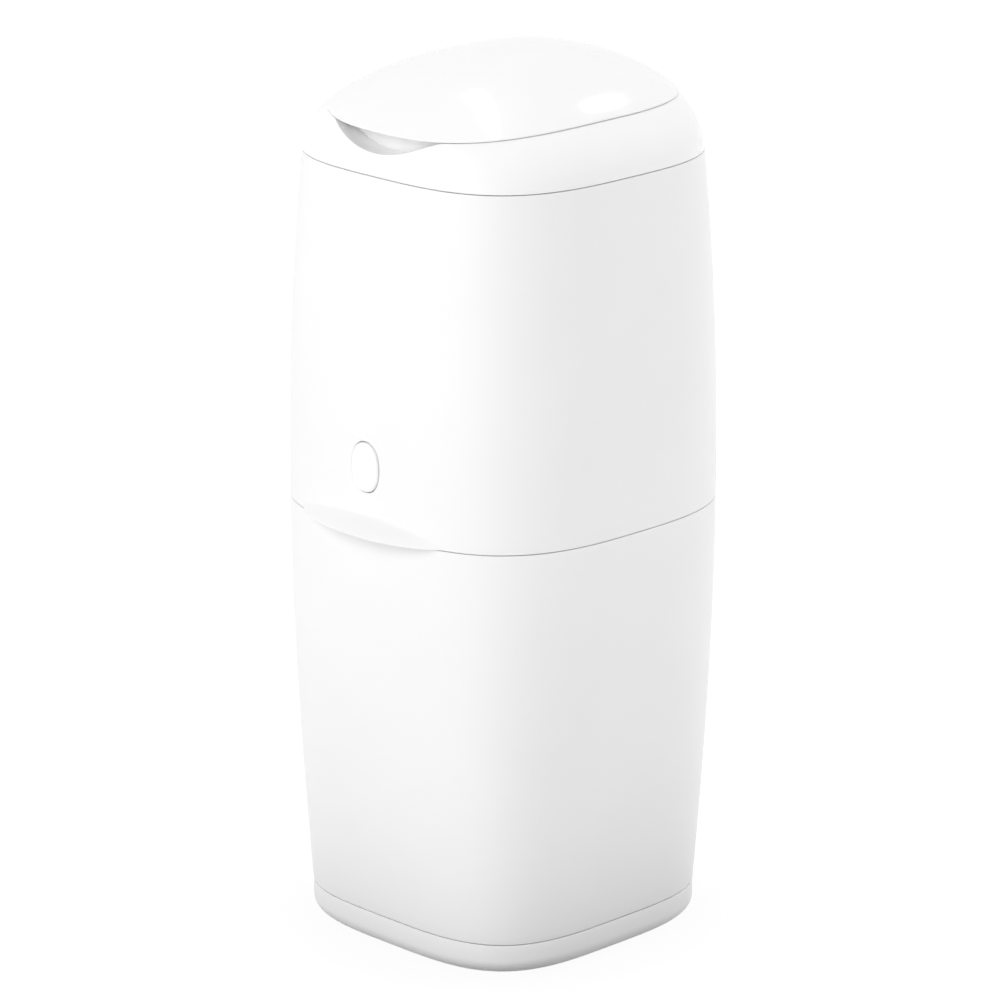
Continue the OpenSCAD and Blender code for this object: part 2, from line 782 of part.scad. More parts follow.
module fixed_jaw() color("slategray")
union() {
    block([-jaw_half, -mouth_deep - 8, rod_z - 4], [jaw_half, -mouth_deep - 4, frame_z]);
    block([-jaw_half, -mouth_deep - 5, rod_z - jaw_t / 2], [jaw_half, fixed_face - 1, rod_z + jaw_t / 2]);
    block([-jaw_half, fixed_face - jaw_t, rod_z - jaw_h / 2], [jaw_half, fixed_face, rod_z + jaw_h / 2]);
    for (u = jaw_ribs)
        fixed_jaw_rib(u * mouth_half);
}

// Rib that ties the fixed jaw's shelf to its back wall
module fixed_jaw_rib(x)
translate([0, -mouth_deep - 5, rod_z])
    along_x(x - rib_t / 2, x + rib_t / 2)
        polygon([[0, 1], [0, rod_down - 2], [mouth_deep - jaw_meet, 1]]);

module fixed_jaw_pad() color("dimgray")
block([-mouth_half, fixed_face, rod_z - jaw_h / 2 + 1],
    [mouth_half, fixed_face + pad_t, rod_z + jaw_h / 2 - 1]);

module guide_rods() color("silver")
both_sides() translate([rod_off, 0, rod_z])
    along_y(front_lug_y, rear_lug_y + lug_t) circle(r = rod_r);

module jaw_springs() color("silver")
both_sides() translate([rod_off, boss_back, rod_z]) rotate([-90, 0, 0])
    coil(rod_r + 2 * spring_wire, spring_wire, spring_turns, rear_lug_y - boss_back);

module sliding_jaw() color("slategray")
difference() {
    union() {
        block([-jaw_half, jaw_face, rod_z - jaw_t / 2], [jaw_half, jaw_back, rod_z + jaw_t / 2]);
        block([-jaw_half, jaw_face, rod_z - jaw_h / 2], [jaw_half, jaw_face + jaw_t, rod_z + jaw_h / 2]);
        for (u = jaw_ribs)
            sliding_jaw_rib(u * mouth_half);
        both_sides() {
            translate([rod_off, 0, rod_z]) along_y(boss_front, boss_back) circle(r = lug_half);
            block([jaw_half - 4, boss_front, rod_z - lug_half / 2],
                [rod_off - rod_r - 0.5, boss_back, rod_z + lug_half / 2]);
        }
    }
    both_sides() translate([rod_off, 0, rod_z])
        along_y(boss_front - 1, boss_back + 1) circle(r = rod_r + run_play);
}

// Rib that ties the sliding jaw's face to the underside of its plate
module sliding_jaw_rib(x)
translate([0, jaw_face + jaw_t - 1, rod_z])
    along_x(x - rib_t / 2, x + rib_t / 2)
        polygon([[0, 1 - jaw_h / 2], [0, 0], [jaw_back - jaw_face - 8, 0]]);

module sliding_jaw_pad() color("dimgray")
block([-mouth_half, jaw_face - pad_t, rod_z - jaw_h / 2 + 1],
    [mouth_half, jaw_face, rod_z + jaw_h / 2 - 1]);

module cutter_body() color("darkorange")
translate([0, cutter_y, frame_z])
difference() {
    along_x(-cutter_w / 2, cutter_w / 2) polygon([
        [0, 0], [cutter_d, 0], [cutter_d, -cutter_neck], [0.6 * cutter_d, -cutter_h],
        [0.3 * cutter_d, -cutter_h], [0, -cutter_neck]
    ]);
    block([-cutter_slot / 2, -1, -cutter_h - 1], [cutter_slot / 2, cutter_d + 1, -cutter_neck]);
    block([-blade_half - 0.5, cutter_d / 2 - blade_t / 2 - 0.1, -0.75 * cutter_h],
        [blade_half + 0.5, cutter_d / 2 + blade_t / 2 + 0.1, -blade_top]);
}

module cutter_blade() color("silver")
translate([0, cutter_y, frame_z])
    along_y(cutter_d / 2 - blade_t / 2, cutter_d / 2 + blade_t / 2) polygon([
        [-blade_half, -blade_top], [-blade_half, -0.62 * cutter_h], [3.5 - blade_half, -0.73 * cutter_h],
        [blade_half - 3.5, -0.52 * cutter_h], [blade_half, -0.4 * cutter_h], [blade_half, -blade_top]
    ]);

module latch_guide() color("lightgray")
difference() {
    union() {
        both_sides()
            block([guide_in, -wall_face, button_z - guide_up],
                [guide_in + guide_t, -guide_y, button_z + guide_up]);
        block([-guide_in - guide_t, -guide_y, button_z - guide_up],
            [guide_in + guide_t, -guide_y + guide_t, button_z + guide_up]);
        block([-guide_in - guide_t, -wall_face, button_z + guide_up],
            [guide_in + guide_t, -guide_y + guide_t, button_z + guide_up + guide_t]);
    }
    translate([0, 0, button_z]) along_y(-guide_y - 1, -guide_y + guide_t + 1) circle(r = stem_r + run_play);
}

module latch_spring() color("silver")
translate([0, -hook_y + hook_t, button_z]) rotate([-90, 0, 0])
    coil(stem_r + 2 * spring_wire, spring_wire, latch_spring_turns, latch_spring_l);

module release_button() color("white")
translate([0, 0, button_z])
union() {
    brow = half_at(button_z) + button_proud - button_edge;
    rotate([90, 0, 0]) loft(concat(
        [at_height(button_outline(0), wall_face - 1)],
        [
            for (a = [0:30:90])
                at_height(button_outline(button_edge * (cos(a) - 1)), brow + 0.75 * button_edge * sin(a))
        ],
        [at_height(0.6 * button_outline(-button_edge), brow + 0.75 * button_edge + button_crown)]
    ));
    along_y(-wall_face, -wall_face + flange_t) polygon(button_outline(flange_w));
    along_y(-wall_face + flange_t / 2, -stem_end) circle(r = stem_r);
}

module latch_hook() color("slategray")
difference() {
    catch_y = hook_y - keeper_tip - hook_catch;
    union() {
        block([-hook_w / 2, -hook_y, keeper_ledge_z - face_gap - hook_nose_h],
            [hook_w / 2, -hook_y + hook_t, button_z + stem_r + 4]);
        translate([0, -hook_y, keeper_ledge_z - face_gap])
            along_x(-hook_w / 2, hook_w / 2)
                polygon([[0.5, 0], [0.5, -hook_nose_h], [-1, -hook_nose_h], [catch_y, -2], [catch_y, 0]]);
    }
    translate([0, 0, button_z]) along_y(-hook_y - 1, -hook_y + hook_t + 1) circle(r = stem_r + tight);
}

module lid_hinge_pin() color("silver")
translate([0, lid_axis_y, lid_axis_z])
    along_x(-lid_knuckle_half - lug_play - lid_lug_w, lid_knuckle_half + lug_play + lid_lug_w)
        circle(r = lid_pin_r);

module lid_shell() color("white")
difference() {
    union() {
        loft(concat(
            [for (s = [0.12, 0.35, 0.55, 0.75, 0.9]) dome_ring(s, lid_t, lid_t)],
            [dome_ring(1, lid_t, lid_t), dome_ring(1, 0, 0)],
            [for (s = [1, 0.985, 0.95, 0.88, 0.78, 0.62, 0.42, 0.2, 0.05]) dome_ring(s, 0, 0, lid_rim)]
        ));
        intersection() {
            lid_posts() translate([0, 0, liner_z + liner_t]) cylinder(r = post_r, h = far);
            loft(concat(
                [dome_ring(1, lid_t + 1, lid_t - 1)],
                [for (s = [0.9, 0.75, 0.55, 0.35, 0.12]) dome_ring(s, lid_t + 1, lid_t - 1)]
            ));
        }
        lid_knuckle();
    }
    lid_posts() translate([0, 0, liner_z]) cylinder(r = post_screw_r + tight, h = post_screw_l + 2);
    translate([0, lid_axis_y, lid_axis_z])
        along_x(-far / 2, far / 2) circle(r = lid_pin_r + run_play);
}

// The lid's knuckle, with an arm that rises behind the collar to the lid's rim
module lid_knuckle()
translate([0, lid_axis_y, lid_axis_z])
along_x(-lid_knuckle_half, lid_knuckle_half) {
    under = lid_axis_down + half_gap;
    circle(r = lid_knuckle_r);
    polygon([
        [0.5 - lid_knuckle_r, 0], [0.5 - lid_knuckle_r, under], [-lid_knuckle_r - 4.6, under],
        [-lid_knuckle_r - 4.6, under + lid_rim], [-lid_knuckle_r, under + lid_rim],
        [0, under], [lid_knuckle_r, 0.5 * under], [lid_knuckle_r, 0]
    ]);
}

module lid_posts()
translate([0, post_back, 0]) at_corners(post_x, post_y) children();

module lid_liner() color("whitesmoke")
difference() {
    top = dome_ring(liner_top, lid_t, lid_t + 3 * face_gap);
    loft([
        inner_ring(liner_z, liner_in),
        top,
        [for (p = top) [0.975 * p[0], 0.975 * p[1], p[2]]],
        inner_ring(liner_z + liner_t, liner_in + 2)
    ]);
    lid_posts() translate([0, 0, liner_z - 1]) cylinder(r = post_screw_r + 0.3, h = far);
}

module lid_seal() color("gray")
loft(closed = true, [
    inner_ring(seat_z + face_gap, liner_in + 1),
    inner_ring(liner_z, liner_in + 0.4),
    inner_ring(liner_z, liner_in + 3.4),
    inner_ring(seat_z + face_gap, liner_in + 2.8)
]);

module lid_screws() color("silver")
lid_posts() translate([0, 0, liner_z]) screw(post_screw_r, post_screw_l);

module cassette_body() color("aliceblue")
translate([0, 0, cassette_z])
rotate_extrude($fn = 96) polygon([
    [throat_r, 0], [cassette_r - 1, 0], [cassette_r, 1], [cassette_r, cassette_h],
    [cassette_r - cassette_wall, cassette_h], [cassette_r - cassette_wall, cassette_base],
    [throat_r + cassette_wall, cassette_base], [throat_r + cassette_wall, cassette_h - 4],
    [throat_r, cassette_h - 4]
]);

module film_pack() color("lightblue")
translate([0, 0, cassette_z + cassette_base + tight])
rotate_extrude($fn = 96) difference() {
    inner = throat_r + cassette_wall + 0.6;
    outer = cassette_r - cassette_wall - 0.6;
    translate([inner, 0]) square([outer - inner, cassette_h - 8]);
    for (z = [2.5:3:cassette_h - 9])
        translate([outer - 0.3, z]) square([1, 0.8]);
}

module cassette_cap() color("deepskyblue")
translate([0, 0, cassette_z + cassette_h - cap_down])
rotate_extrude($fn = 96) {
    inner = throat_r + cassette_wall + 1.4;
    outer = cassette_r - cassette_wall - tight;
    polygon([[inner, 0], [outer, 0], [outer, cap_t], [inner + 1.6, cap_t], [inner, cap_t - 1.4]]);
}

foot_ring();
rubber_feet();
foot_screws();
lower_bucket();
rim_seal();
latch_keeper();
keeper_screws();
main_hinge_pin();
upper_housing();
collar();
cassette_deck();
deck_screws();
clamp_frame();
clamp_screws();
fixed_jaw();
fixed_jaw_pad();
guide_rods();
jaw_springs();
cutter_body();
cutter_blade();
latch_guide();
latch_spring();
lid_hinge_pin();
lid_shell();
lid_liner();
lid_seal();
lid_screws();
sliding_jaw();
sliding_jaw_pad();
release_button();
latch_hook();
cassette_body();
film_pack();
cassette_cap();
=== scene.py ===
"""Nappy bin: the visible surfaces, their materials, the studio and the camera.

Sizes are in millimetres, and mesh() turns them into metres. They have the values of the CAD
source, so that each skin lies on the solid it stands for, apart from the finish listed below.
A ring is an array of AROUND points, counted round the bin from +X towards the back. Stations are
rings with a rounding radius each, and skin() lays a surface through them.
"""

import json
import math

import bmesh
import bpy
import numpy as np
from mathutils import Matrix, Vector


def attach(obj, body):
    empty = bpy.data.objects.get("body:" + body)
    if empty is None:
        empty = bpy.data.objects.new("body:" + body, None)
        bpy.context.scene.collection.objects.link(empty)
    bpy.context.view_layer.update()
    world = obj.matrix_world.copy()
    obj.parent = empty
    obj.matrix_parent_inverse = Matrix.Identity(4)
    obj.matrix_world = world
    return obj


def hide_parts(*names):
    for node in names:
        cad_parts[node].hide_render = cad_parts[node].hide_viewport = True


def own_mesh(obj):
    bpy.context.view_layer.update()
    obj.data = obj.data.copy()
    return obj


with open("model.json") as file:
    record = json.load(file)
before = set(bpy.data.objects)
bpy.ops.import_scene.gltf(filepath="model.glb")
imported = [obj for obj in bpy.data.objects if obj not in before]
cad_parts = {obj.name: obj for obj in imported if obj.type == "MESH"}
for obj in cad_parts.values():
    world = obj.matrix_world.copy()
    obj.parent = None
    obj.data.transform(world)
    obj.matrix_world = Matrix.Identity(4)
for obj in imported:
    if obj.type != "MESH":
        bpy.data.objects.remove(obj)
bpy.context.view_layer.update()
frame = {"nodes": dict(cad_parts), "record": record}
nodes = frame["nodes"]

MM = 0.001

# Body
BODY_W = 226.0
WAIST_Z = 275.0
FOOT_Z = 22.0
SEAM_Z = 267.0
COLLAR_Z = 478.0
FOOT_DRAW = 14.0  # how far each side draws in from the waist to the foot
COLLAR_DRAW = 9.0
FOOT_SQUARE = 3.56
SEAM_SQUARE = 3.0
COLLAR_SQUARE = 3.14
WALL = 2.6
HALF_GAP = 0.3  # half of the gap along a seam
FACE_GAP = 0.3  # between neighbouring faces that nearly touch

# Finish that only the scene has
SEAM_ROUND = 0.2  # rounding of the edges along the seams
LID_GAP_UP = 0.1  # height of the lid's low edge over the joint with the collar
PIN_PROUD = 0.25  # how far a hinge pin's ends stand out of its lugs
HOLE_FILLET = 0.7  # rounding of the rim of the button's hole
BUTTON_PILLOW = 0.6  # how much further out the button's face stands
BUTTON_CROWN = 0.2  # how much its middle swells beyond that
BUTTON_EDGE = 1.8  # rounding of the button's rim
LIP_COVE_AT = 0.78  # share of the lip's height where its slope meets the wall
LIP_COVE = 0.12  # roundness of the cove there
PAD_RIDGE = 0.16  # half the depth of the jaw pads' ridges, as a share of their thickness

# Foot
FOOT_ROUND = 10.0
FEET_PROUD = 2.0
FLOOR_T = 3.0
FOOT_LIP = 0.4
FOOT_SCREW_OFF = 42.0
FOOT_SCREW_R = 1.8
FOOT_HOLE_R = 2.2 * FOOT_SCREW_R
FOOT_HOLE_D = 1.4 * FOOT_SCREW_R
FOOT_BOSS_R = 5.0
FOOT_BOSS_H = 9.0
SUNK = 0.5  # how far a post's root is sunk in the shell that carries it

# Rim and main hinge
UPSTAND_H = 9.0
UPSTAND_T = 2.4
UPSTAND_PLAY = 0.8
SEAL_H = 1.7
SEAL_GAP = 0.3
RIM_LEDGE_T = 2.5
KNUCKLE_R = 5.5
KNUCKLE_HALF = 27.7
LUG_W = 13.5
LUG_PLAY = 0.6
HINGE_GAP = 1.0
HINGE_RIB_H = 24.0

# Finger lip
LIP_W = 117.0
LIP_OUT = 12.0
LIP_H = 12.0

# Button and latch
BUTTON_UP = 39.0
BUTTON_W = 22.4
BUTTON_H = 30.0
BUTTON_GAP = 0.5
BUTTON_SQUARE = 2.2
BUTTON_PROUD = 0.7
BUTTON_TRAVEL = 4.5
FLANGE_T = 2.0
FLANGE_W = 2.4
STEM_R = 5.0
STEM_OUT = 2.0  # how far the stem stands out behind its guide
GUIDE_UP = BUTTON_H / 2 + FLANGE_W + 1
GUIDE_T = 2.5
KEEPER_T = 1.6
HOOK_T = 3.0
HOOK_CATCH = 3.0
HOOK_PLAY = 0.8
HOOK_BACK = 0.7  # how far the hook stands behind the keeper's tip

# Collar and lid
LID_HALF = 88.4
LID_FRONT = 99.3
LID_BACK = 100.0
LID_SQUARE = 2.65
LID_EDGE = 31.6
LID_DROOP = 6.8
LID_CROWN = 56.4
LID_T = 2.6
LID_RIM = 0.9
CROWN_BACK = 29.6
DOME_POWER = 2.8
LAND_W = 8.5
SEAT_W = 6.0
SEAT_UP = 19.0
SPIGOT_T = 2.2
THROAT_T = 2.0
SCOOP_W = 90.0
SCOOP_D = 11.0
SCOOP_H = 11.0
SCOOP_ROOM = 6.0
SCOOP_ARCH = 1.35
SCOOP_BLEND = 14.0  # width over which the scoop runs out into the land at each side
SKIN = 2.6
COLLAR_BULGE = 2.07
COLLAR_SWEEP = math.radians(40.8)
LID_KNUCKLE_R = 3.4
LID_KNUCKLE_HALF = 18.0
LID_LUG_W = 10.0
LID_AXIS_DOWN = 8.6
LINER_PLAY = 2.5
LINER_T = 2.0
LINER_TOP = 0.86
POST_X = 0.54 * LID_HALF
POST_Y = 0.45 * LID_BACK
POST_BACK = 0.08 * LID_BACK
POST_R = 4.0

# Deck and cassette
DECK_DOWN = 26.0
DECK_T = 3.0
DECK_BOSS_R = 4.0
DECK_BOSS_H = 12.0
SHELF_IN = 9.0
SHELF_T = 3.0
CHUTE_H = 21.0
CHUTE_T = 2.4
CHUTE_SQUARE = 5.5
CASSETTE_PLAY = 3.9
CASSETTE_RING = 22.0
CASSETTE_H = 26.0
CASSETTE_WALL = 2.0
LOCATOR_H = 7.0
LOCATOR_T = 2.0

# Clamp
MOUTH_HALF = 58.0
MOUTH_DEEP = 42.0
ROD_OFF = MOUTH_HALF + 12
ROD_DOWN = 14.0
ROD_R = 3.0
ROD_LUG_HALF = 6.0
ROD_LUG_T = 6.0
PILLAR_Y = MOUTH_DEEP - 8
PILLAR_R = 4.5
FRAME_T = 3.0
FRAME_PLAY = 1.0
JAW_MEET = 20.0
JAW_H = 14.0
JAW_TRAVEL = 46.0
PAD_T = 2.0

# Springs: radius of the wire, turns, and room left between the turns when a spring is squashed
SPRING_WIRE = 0.6
JAW_SPRING_TURNS = 10
JAW_SPRING_ROOM = 1.0
LATCH_SPRING_TURNS = 5
LATCH_SPRING_ROOM = 4.5

# Mesh: points round a ring, the number of the front one, the half width in points and the half
# height of the patch of wall round the button's hole, and the angle in degrees of a sharp edge
AROUND = 240
FRONT = AROUND * 3 // 4
WINDOW_HALF = 7
WINDOW_UP = BUTTON_H / 2 + 7
SHARP = 40.0

# Heights, insets and radii that follow from these
FOOT_TOP = FOOT_Z - HALF_GAP
FOOT_FLOOR = FEET_PROUD + FLOOR_T
BUCKET_BASE = FOOT_Z - 6
BUCKET_FLOOR = BUCKET_BASE + FLOOR_T
RIM_Z = SEAM_Z - HALF_GAP
HOUSING_Z = SEAM_Z + HALF_GAP
UPSTAND_IN = WALL + UPSTAND_PLAY
UPSTAND_TOP = SEAM_Z + UPSTAND_H
UPSTAND_INNER = UPSTAND_IN + UPSTAND_T
RIM_LEDGE_Z = UPSTAND_TOP + SEAL_H + SEAL_GAP
RIM_LEDGE_IN = UPSTAND_INNER + 2
BUTTON_Z = SEAM_Z + BUTTON_UP
SEAT_Z = COLLAR_Z + SEAT_UP
THROAT_IN = LAND_W + SEAT_W
THROAT_Z = COLLAR_Z - 12
SPIGOT_Z = COLLAR_Z - 8
DECK_Z = COLLAR_Z - DECK_DOWN
DECK_TOP = DECK_Z + DECK_T
LID_AXIS_Y = LID_BACK + LID_KNUCKLE_R + 2.6
LID_AXIS_Z = COLLAR_Z + LID_EDGE - LID_AXIS_DOWN
LINER_IN = LAND_W + LINER_PLAY
LINER_Z = SEAT_Z + 2
CASSETTE_R = LID_HALF - THROAT_IN - CASSETTE_PLAY
THROAT_R = CASSETTE_R - CASSETTE_RING
LOCATOR_R = CASSETTE_R + 0.8
FRAME_TOP = DECK_Z - CHUTE_H
ROD_Z = FRAME_TOP - FRAME_T - ROD_DOWN


# -------------------- outlines

def lerp(a, b, u):
    return a + (b - a) * u


def ease(u):
    """Smooth step from 0 to 1."""
    u = np.clip(u, 0, 1)
    return u * u * (3 - 2 * u)


def half_at(z):
    """Half width of the body at height z."""
    if z > WAIST_Z:
        return BODY_W / 2 - COLLAR_DRAW * ((z - WAIST_Z) / (COLLAR_Z - WAIST_Z)) ** 2
    return BODY_W / 2 - FOOT_DRAW * ((WAIST_Z - z) / (WAIST_Z - FOOT_Z)) ** 1.5


def square_at(z):
    """Squareness of the body's plan at height z, where 2 is a circle."""
    if z < SEAM_Z:
        return lerp(FOOT_SQUARE, SEAM_SQUARE, (z - FOOT_Z) / (SEAM_Z - FOOT_Z))
    return lerp(SEAM_SQUARE, COLLAR_SQUARE, (z - SEAM_Z) / (COLLAR_Z - SEAM_Z))


def plan(angles, half, front, back, square):
    """Points of a squared oval at these angles, as an array of two columns."""
    deep = np.where(np.sin(angles) < 0, front, back)
    across = np.abs(np.cos(angles)) / half
    along = np.abs(np.sin(angles)) / deep
    r = (across**square + along**square) ** (-1 / square)
    return np.stack([r * np.cos(angles), r * np.sin(angles)], axis=1)


def outline(half, front, back, square, count=AROUND):
    return plan(np.linspace(0, 2 * np.pi, count, endpoint=False), half, front, back, square)


def level(points, z):
    return np.column_stack([points, np.full(len(points), z)])


def round_ring(z, r):
    return level(outline(r, r, r, 2), z)


def plan_ring(z, inset, plan_z):
    """Ring at height z that keeps the body's plan at another height."""
    half = half_at(plan_z) - inset
    return level(outline(half, half, half, square_at(plan_z)), z)


def body_ring(z, inset=0.0):
    """Level ring of the body, drawn in from its outer face."""
    return plan_ring(z, inset, z)


def foot_plan(z, inset):
    return plan_ring(z, inset, FOOT_Z)


def corner_at(z, inset):
    """Distance of the body's corner from both middle planes."""
    return (half_at(z) - inset) * 0.5 ** (1 / square_at(z))


def reach_at(x, z, inset):
    """Distance of the body's front or back from the middle, beside the middle by x."""
    half = half_at(z) - inset
    return half * (1 - (abs(x) / half) ** square_at(z)) ** (1 / square_at(z))


def slope_of_lip(u):
    """Share of the lip's reach at share u of its height: a crowned slope ending in a small cove."""
    v = np.clip(u, 0, 1) / LIP_COVE_AT
    slope = 1 - 0.7 * v - 0.3 * v * v
    return (slope + np.sqrt(slope * slope + LIP_COVE * LIP_COVE)) / 2


def housing_ring(z, inset=0.0, lip=LIP_OUT):
    """Ring of the upper housing, pushed out by the finger lip at the front."""
    ring = body_ring(z, inset)
    b = np.clip(1 - (2 * ring[:, 0] / LIP_W) ** 2, 0, 1)
    u = (z - HOUSING_Z) / (LIP_H * np.sqrt(np.maximum(b, 0.001)))
    foot, top = slope_of_lip(0.0), slope_of_lip(1.0)
    push = lip * b**0.8 * (slope_of_lip(u) - top) / (foot - top)
    ring[:, 1] -= np.where(ring[:, 1] < 0, push, 0)
    return ring


def lid_outline(inset=0.0):
    return outline(LID_HALF - inset, LID_FRONT - inset, LID_BACK - inset, LID_SQUARE)


def inner_outline(inset):
    """Plan of what lies inside the collar's wall, further back at the front, behind the scoop."""
    return outline(LID_HALF - inset, LID_FRONT - inset - SCOOP_ROOM, LID_BACK - inset, LID_SQUARE)


def inner_ring(z, inset):
    return level(inner_outline(inset), z)


def edge_z(y):
    """Height of the joint between collar and lid at depth y."""
    return COLLAR_Z + LID_EDGE - LID_DROOP * (np.minimum(y, 0) / LID_FRONT) ** 2


def edge_ring(points, up):
    return np.column_stack([points, edge_z(points[:, 1]) + up])


def front_of_lid(x, front):
    """Depth of the lid's plan at x, where it stands that far forward in the middle."""
    return -front * np.clip(1 - (np.abs(x) / LID_HALF) ** LID_SQUARE, 0, 1) ** (1 / LID_SQUARE)


def collar_ring(h):
    """Collar's outer face at height fraction h, which may differ from column to column."""
    s = np.arcsin(h ** (COLLAR_BULGE / 2) * math.sin(COLLAR_SWEEP))
    g = (1 - np.cos(s) ** (2 / COLLAR_BULGE)) / (1 - math.cos(COLLAR_SWEEP) ** (2 / COLLAR_BULGE))
    low = body_ring(COLLAR_Z)
    high = edge_ring(lid_outline(), -HALF_GAP)
    x = lerp(low[:, 0], high[:, 0], g)
    y = lerp(low[:, 1], high[:, 1], g)
    return np.column_stack([x, y, lerp(COLLAR_Z + HALF_GAP, high[:, 2], h)])


def scoop_floor(x):
    """Height of the finger scoop's arched floor at x."""
    deep = np.clip(1 - (2 * x / SCOOP_W) ** 2, 0, 1) ** SCOOP_ARCH
    return edge_z(front_of_lid(x, LID_FRONT)) - HALF_GAP - SCOOP_H * deep


def scoop_edge():
    """Height fraction where the scoop's floor cuts off each column of the collar's face."""
    low, high = np.zeros(AROUND), np.ones(AROUND)
    for _ in range(30):
        middle = (low + high) / 2
        ring = collar_ring(middle)
        below = (ring[:, 2] < scoop_floor(ring[:, 0])) | (ring[:, 1] > 0)
        low, high = np.where(below, middle, low), np.where(below, high, middle)
    return high


def dome_ring(share, inset=0.0, drop=0.0, rise=0.0):
    """Ring on the lid's dome: share runs from 0 at the crown to 1 at the edge."""
    p = lid_outline(inset)
    low = edge_z(p[:, 1]) + LID_GAP_UP + rise
    z = lerp(low, COLLAR_Z + LID_CROWN - drop, 1 - share**DOME_POWER)
    return np.column_stack([p[:, 0] * share, lerp(CROWN_BACK, p[:, 1], share), z])


def oval_at(angles, grow=0.0):
    """Points of the button's oval, grown all round."""
    up = BUTTON_H / 2 + grow
    return plan(angles, BUTTON_W / 2 + grow, up, up, BUTTON_SQUARE)


# -------------------- meshes

def mesh(name, points, faces, body, slot, sharp=SHARP, stands_for=()):
    """A piece from points in millimetres, on a body and in place of the CAD nodes in stands_for."""
    data = bpy.data.meshes.new(name)
    data.from_pydata([tuple(p) for p in np.asarray(points) * MM], [], faces)
    clean(data)
    data.shade_smooth()
    data.set_sharp_from_angle(angle=math.radians(sharp))
    data.materials.append(MATERIALS[slot])
    piece = bpy.data.objects.new(name, data)
    bpy.context.scene.collection.objects.link(piece)
    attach(piece, body)
    if stands_for:
        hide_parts(*stands_for)
    return piece


def clean(data, closer=0.004 * MM):
    """Merges points that fall together and removes the faces that vanish with them."""
    bm = bmesh.new()
    bm.from_mesh(data)
    bmesh.ops.remove_doubles(bm, verts=bm.verts, dist=closer)
    bmesh.ops.dissolve_degenerate(bm, edges=bm.edges, dist=closer)
    bm.to_mesh(data)
    bm.free()


def reach(step, radius):
    """Share of each step that a rounding of that radius takes, at most 0.45."""
    length = np.maximum(np.linalg.norm(step, axis=1, keepdims=True), 1e-6)
    return np.minimum(radius / length, 0.45)


def soften(stations, closed, steps=4):
    """Rings from stations (ring, radius). A radius over 0 rounds off the corner at its ring."""
    rings = []
    last = len(stations) - 1
    for i, (ring, radius) in enumerate(stations):
        if radius == 0 or (not closed and i in (0, last)):
            rings.append(ring)
            continue
        before = stations[i - 1][0] - ring
        after = stations[(i + 1) % len(stations)][0] - ring
        a = ring + before * reach(before, radius)
        c = ring + after * reach(after, radius)
        for u in np.linspace(0, 1, steps + 1):
            rings.append((1 - u) ** 2 * a + 2 * u * (1 - u) * ring + u**2 * c)
    return rings


def skin_faces(ring_count, n, closed, cut=()):
    """Quads between rings, facing outwards, without those in cut."""
    faces = []
    for i in range(ring_count if closed else ring_count - 1):
        a, b = i * n, (i + 1) % ring_count * n
        for j in range(n):
            if (i, j) not in cut:
                k = (j + 1) % n
                faces.append((a + j, a + k, b + k, b + j))
    return faces


def skin(name, stations, body, slot, closed=False, stands_for=(), sharp=SHARP):
    """A skin through stations. An open one is capped at its ends with fans round a middle point."""
    rings = soften(stations, closed)
    n = len(rings[0])
    points = list(np.concatenate(rings))
    faces = skin_faces(len(rings), n, closed)
    if not closed:
        for ring, start, flip in ((rings[0], 0, True), (rings[-1], (len(rings) - 1) * n, False)):
            middle = len(points)
            points.append(ring.mean(axis=0))
            for j in range(n):
                a, b = start + j, start + (j + 1) % n
                faces.append((b, a, middle) if flip else (a, b, middle))
    return mesh(name, points, faces, body, slot, sharp, stands_for)


def between(low, high, count, make):
    """Stations without rounding at count heights strictly between low and high."""
    return [(make(lerp(low, high, i / (count + 1))), 0) for i in range(1, count + 1)]


def prism_x(name, profile, x0, x1, body, slot, bevel=0.5, stands_for=()):
    """A prism along X from a profile of y and z, with softly bevelled edges."""
    n = len(profile)
    points = [(x, y, z) for x in (x0, x1) for y, z in profile]
    faces = [tuple(reversed(range(n))), tuple(range(n, 2 * n))]
    faces += [(j, (j + 1) % n, n + (j + 1) % n, n + j) for j in range(n)]
    return add_bevel(mesh(name, points, faces, body, slot, 30.0, stands_for), bevel)


def post(name, x, y, z0, z1, r, body, slot):
    """An upright round post with softly rounded ends."""
    cap, rounding, around = 0.4, 0.4, 40
    stations = [
        (level(outline(s * r, s * r, s * r, 2, around), z) + (x, y, 0), radius)
        for s, z, radius in ((cap, z0, 0), (1, z0, rounding), (1, z1, rounding), (cap, z1, 0))
    ]
    return skin(name, stations, body, slot)


def lug_pair(name, profile, inner, width, body, slot):
    """A hinge lug at each side, with its outer end short of the pin's."""
    far = inner + width - PIN_PROUD
    prism_x(f"{name}_right", profile, inner, far, body, slot)
    prism_x(f"{name}_left", profile, -far, -inner, body, slot)


def at_corners(x, y):
    return [(sx * x, sy * y) for sx in (-1, 1) for sy in (-1, 1)]


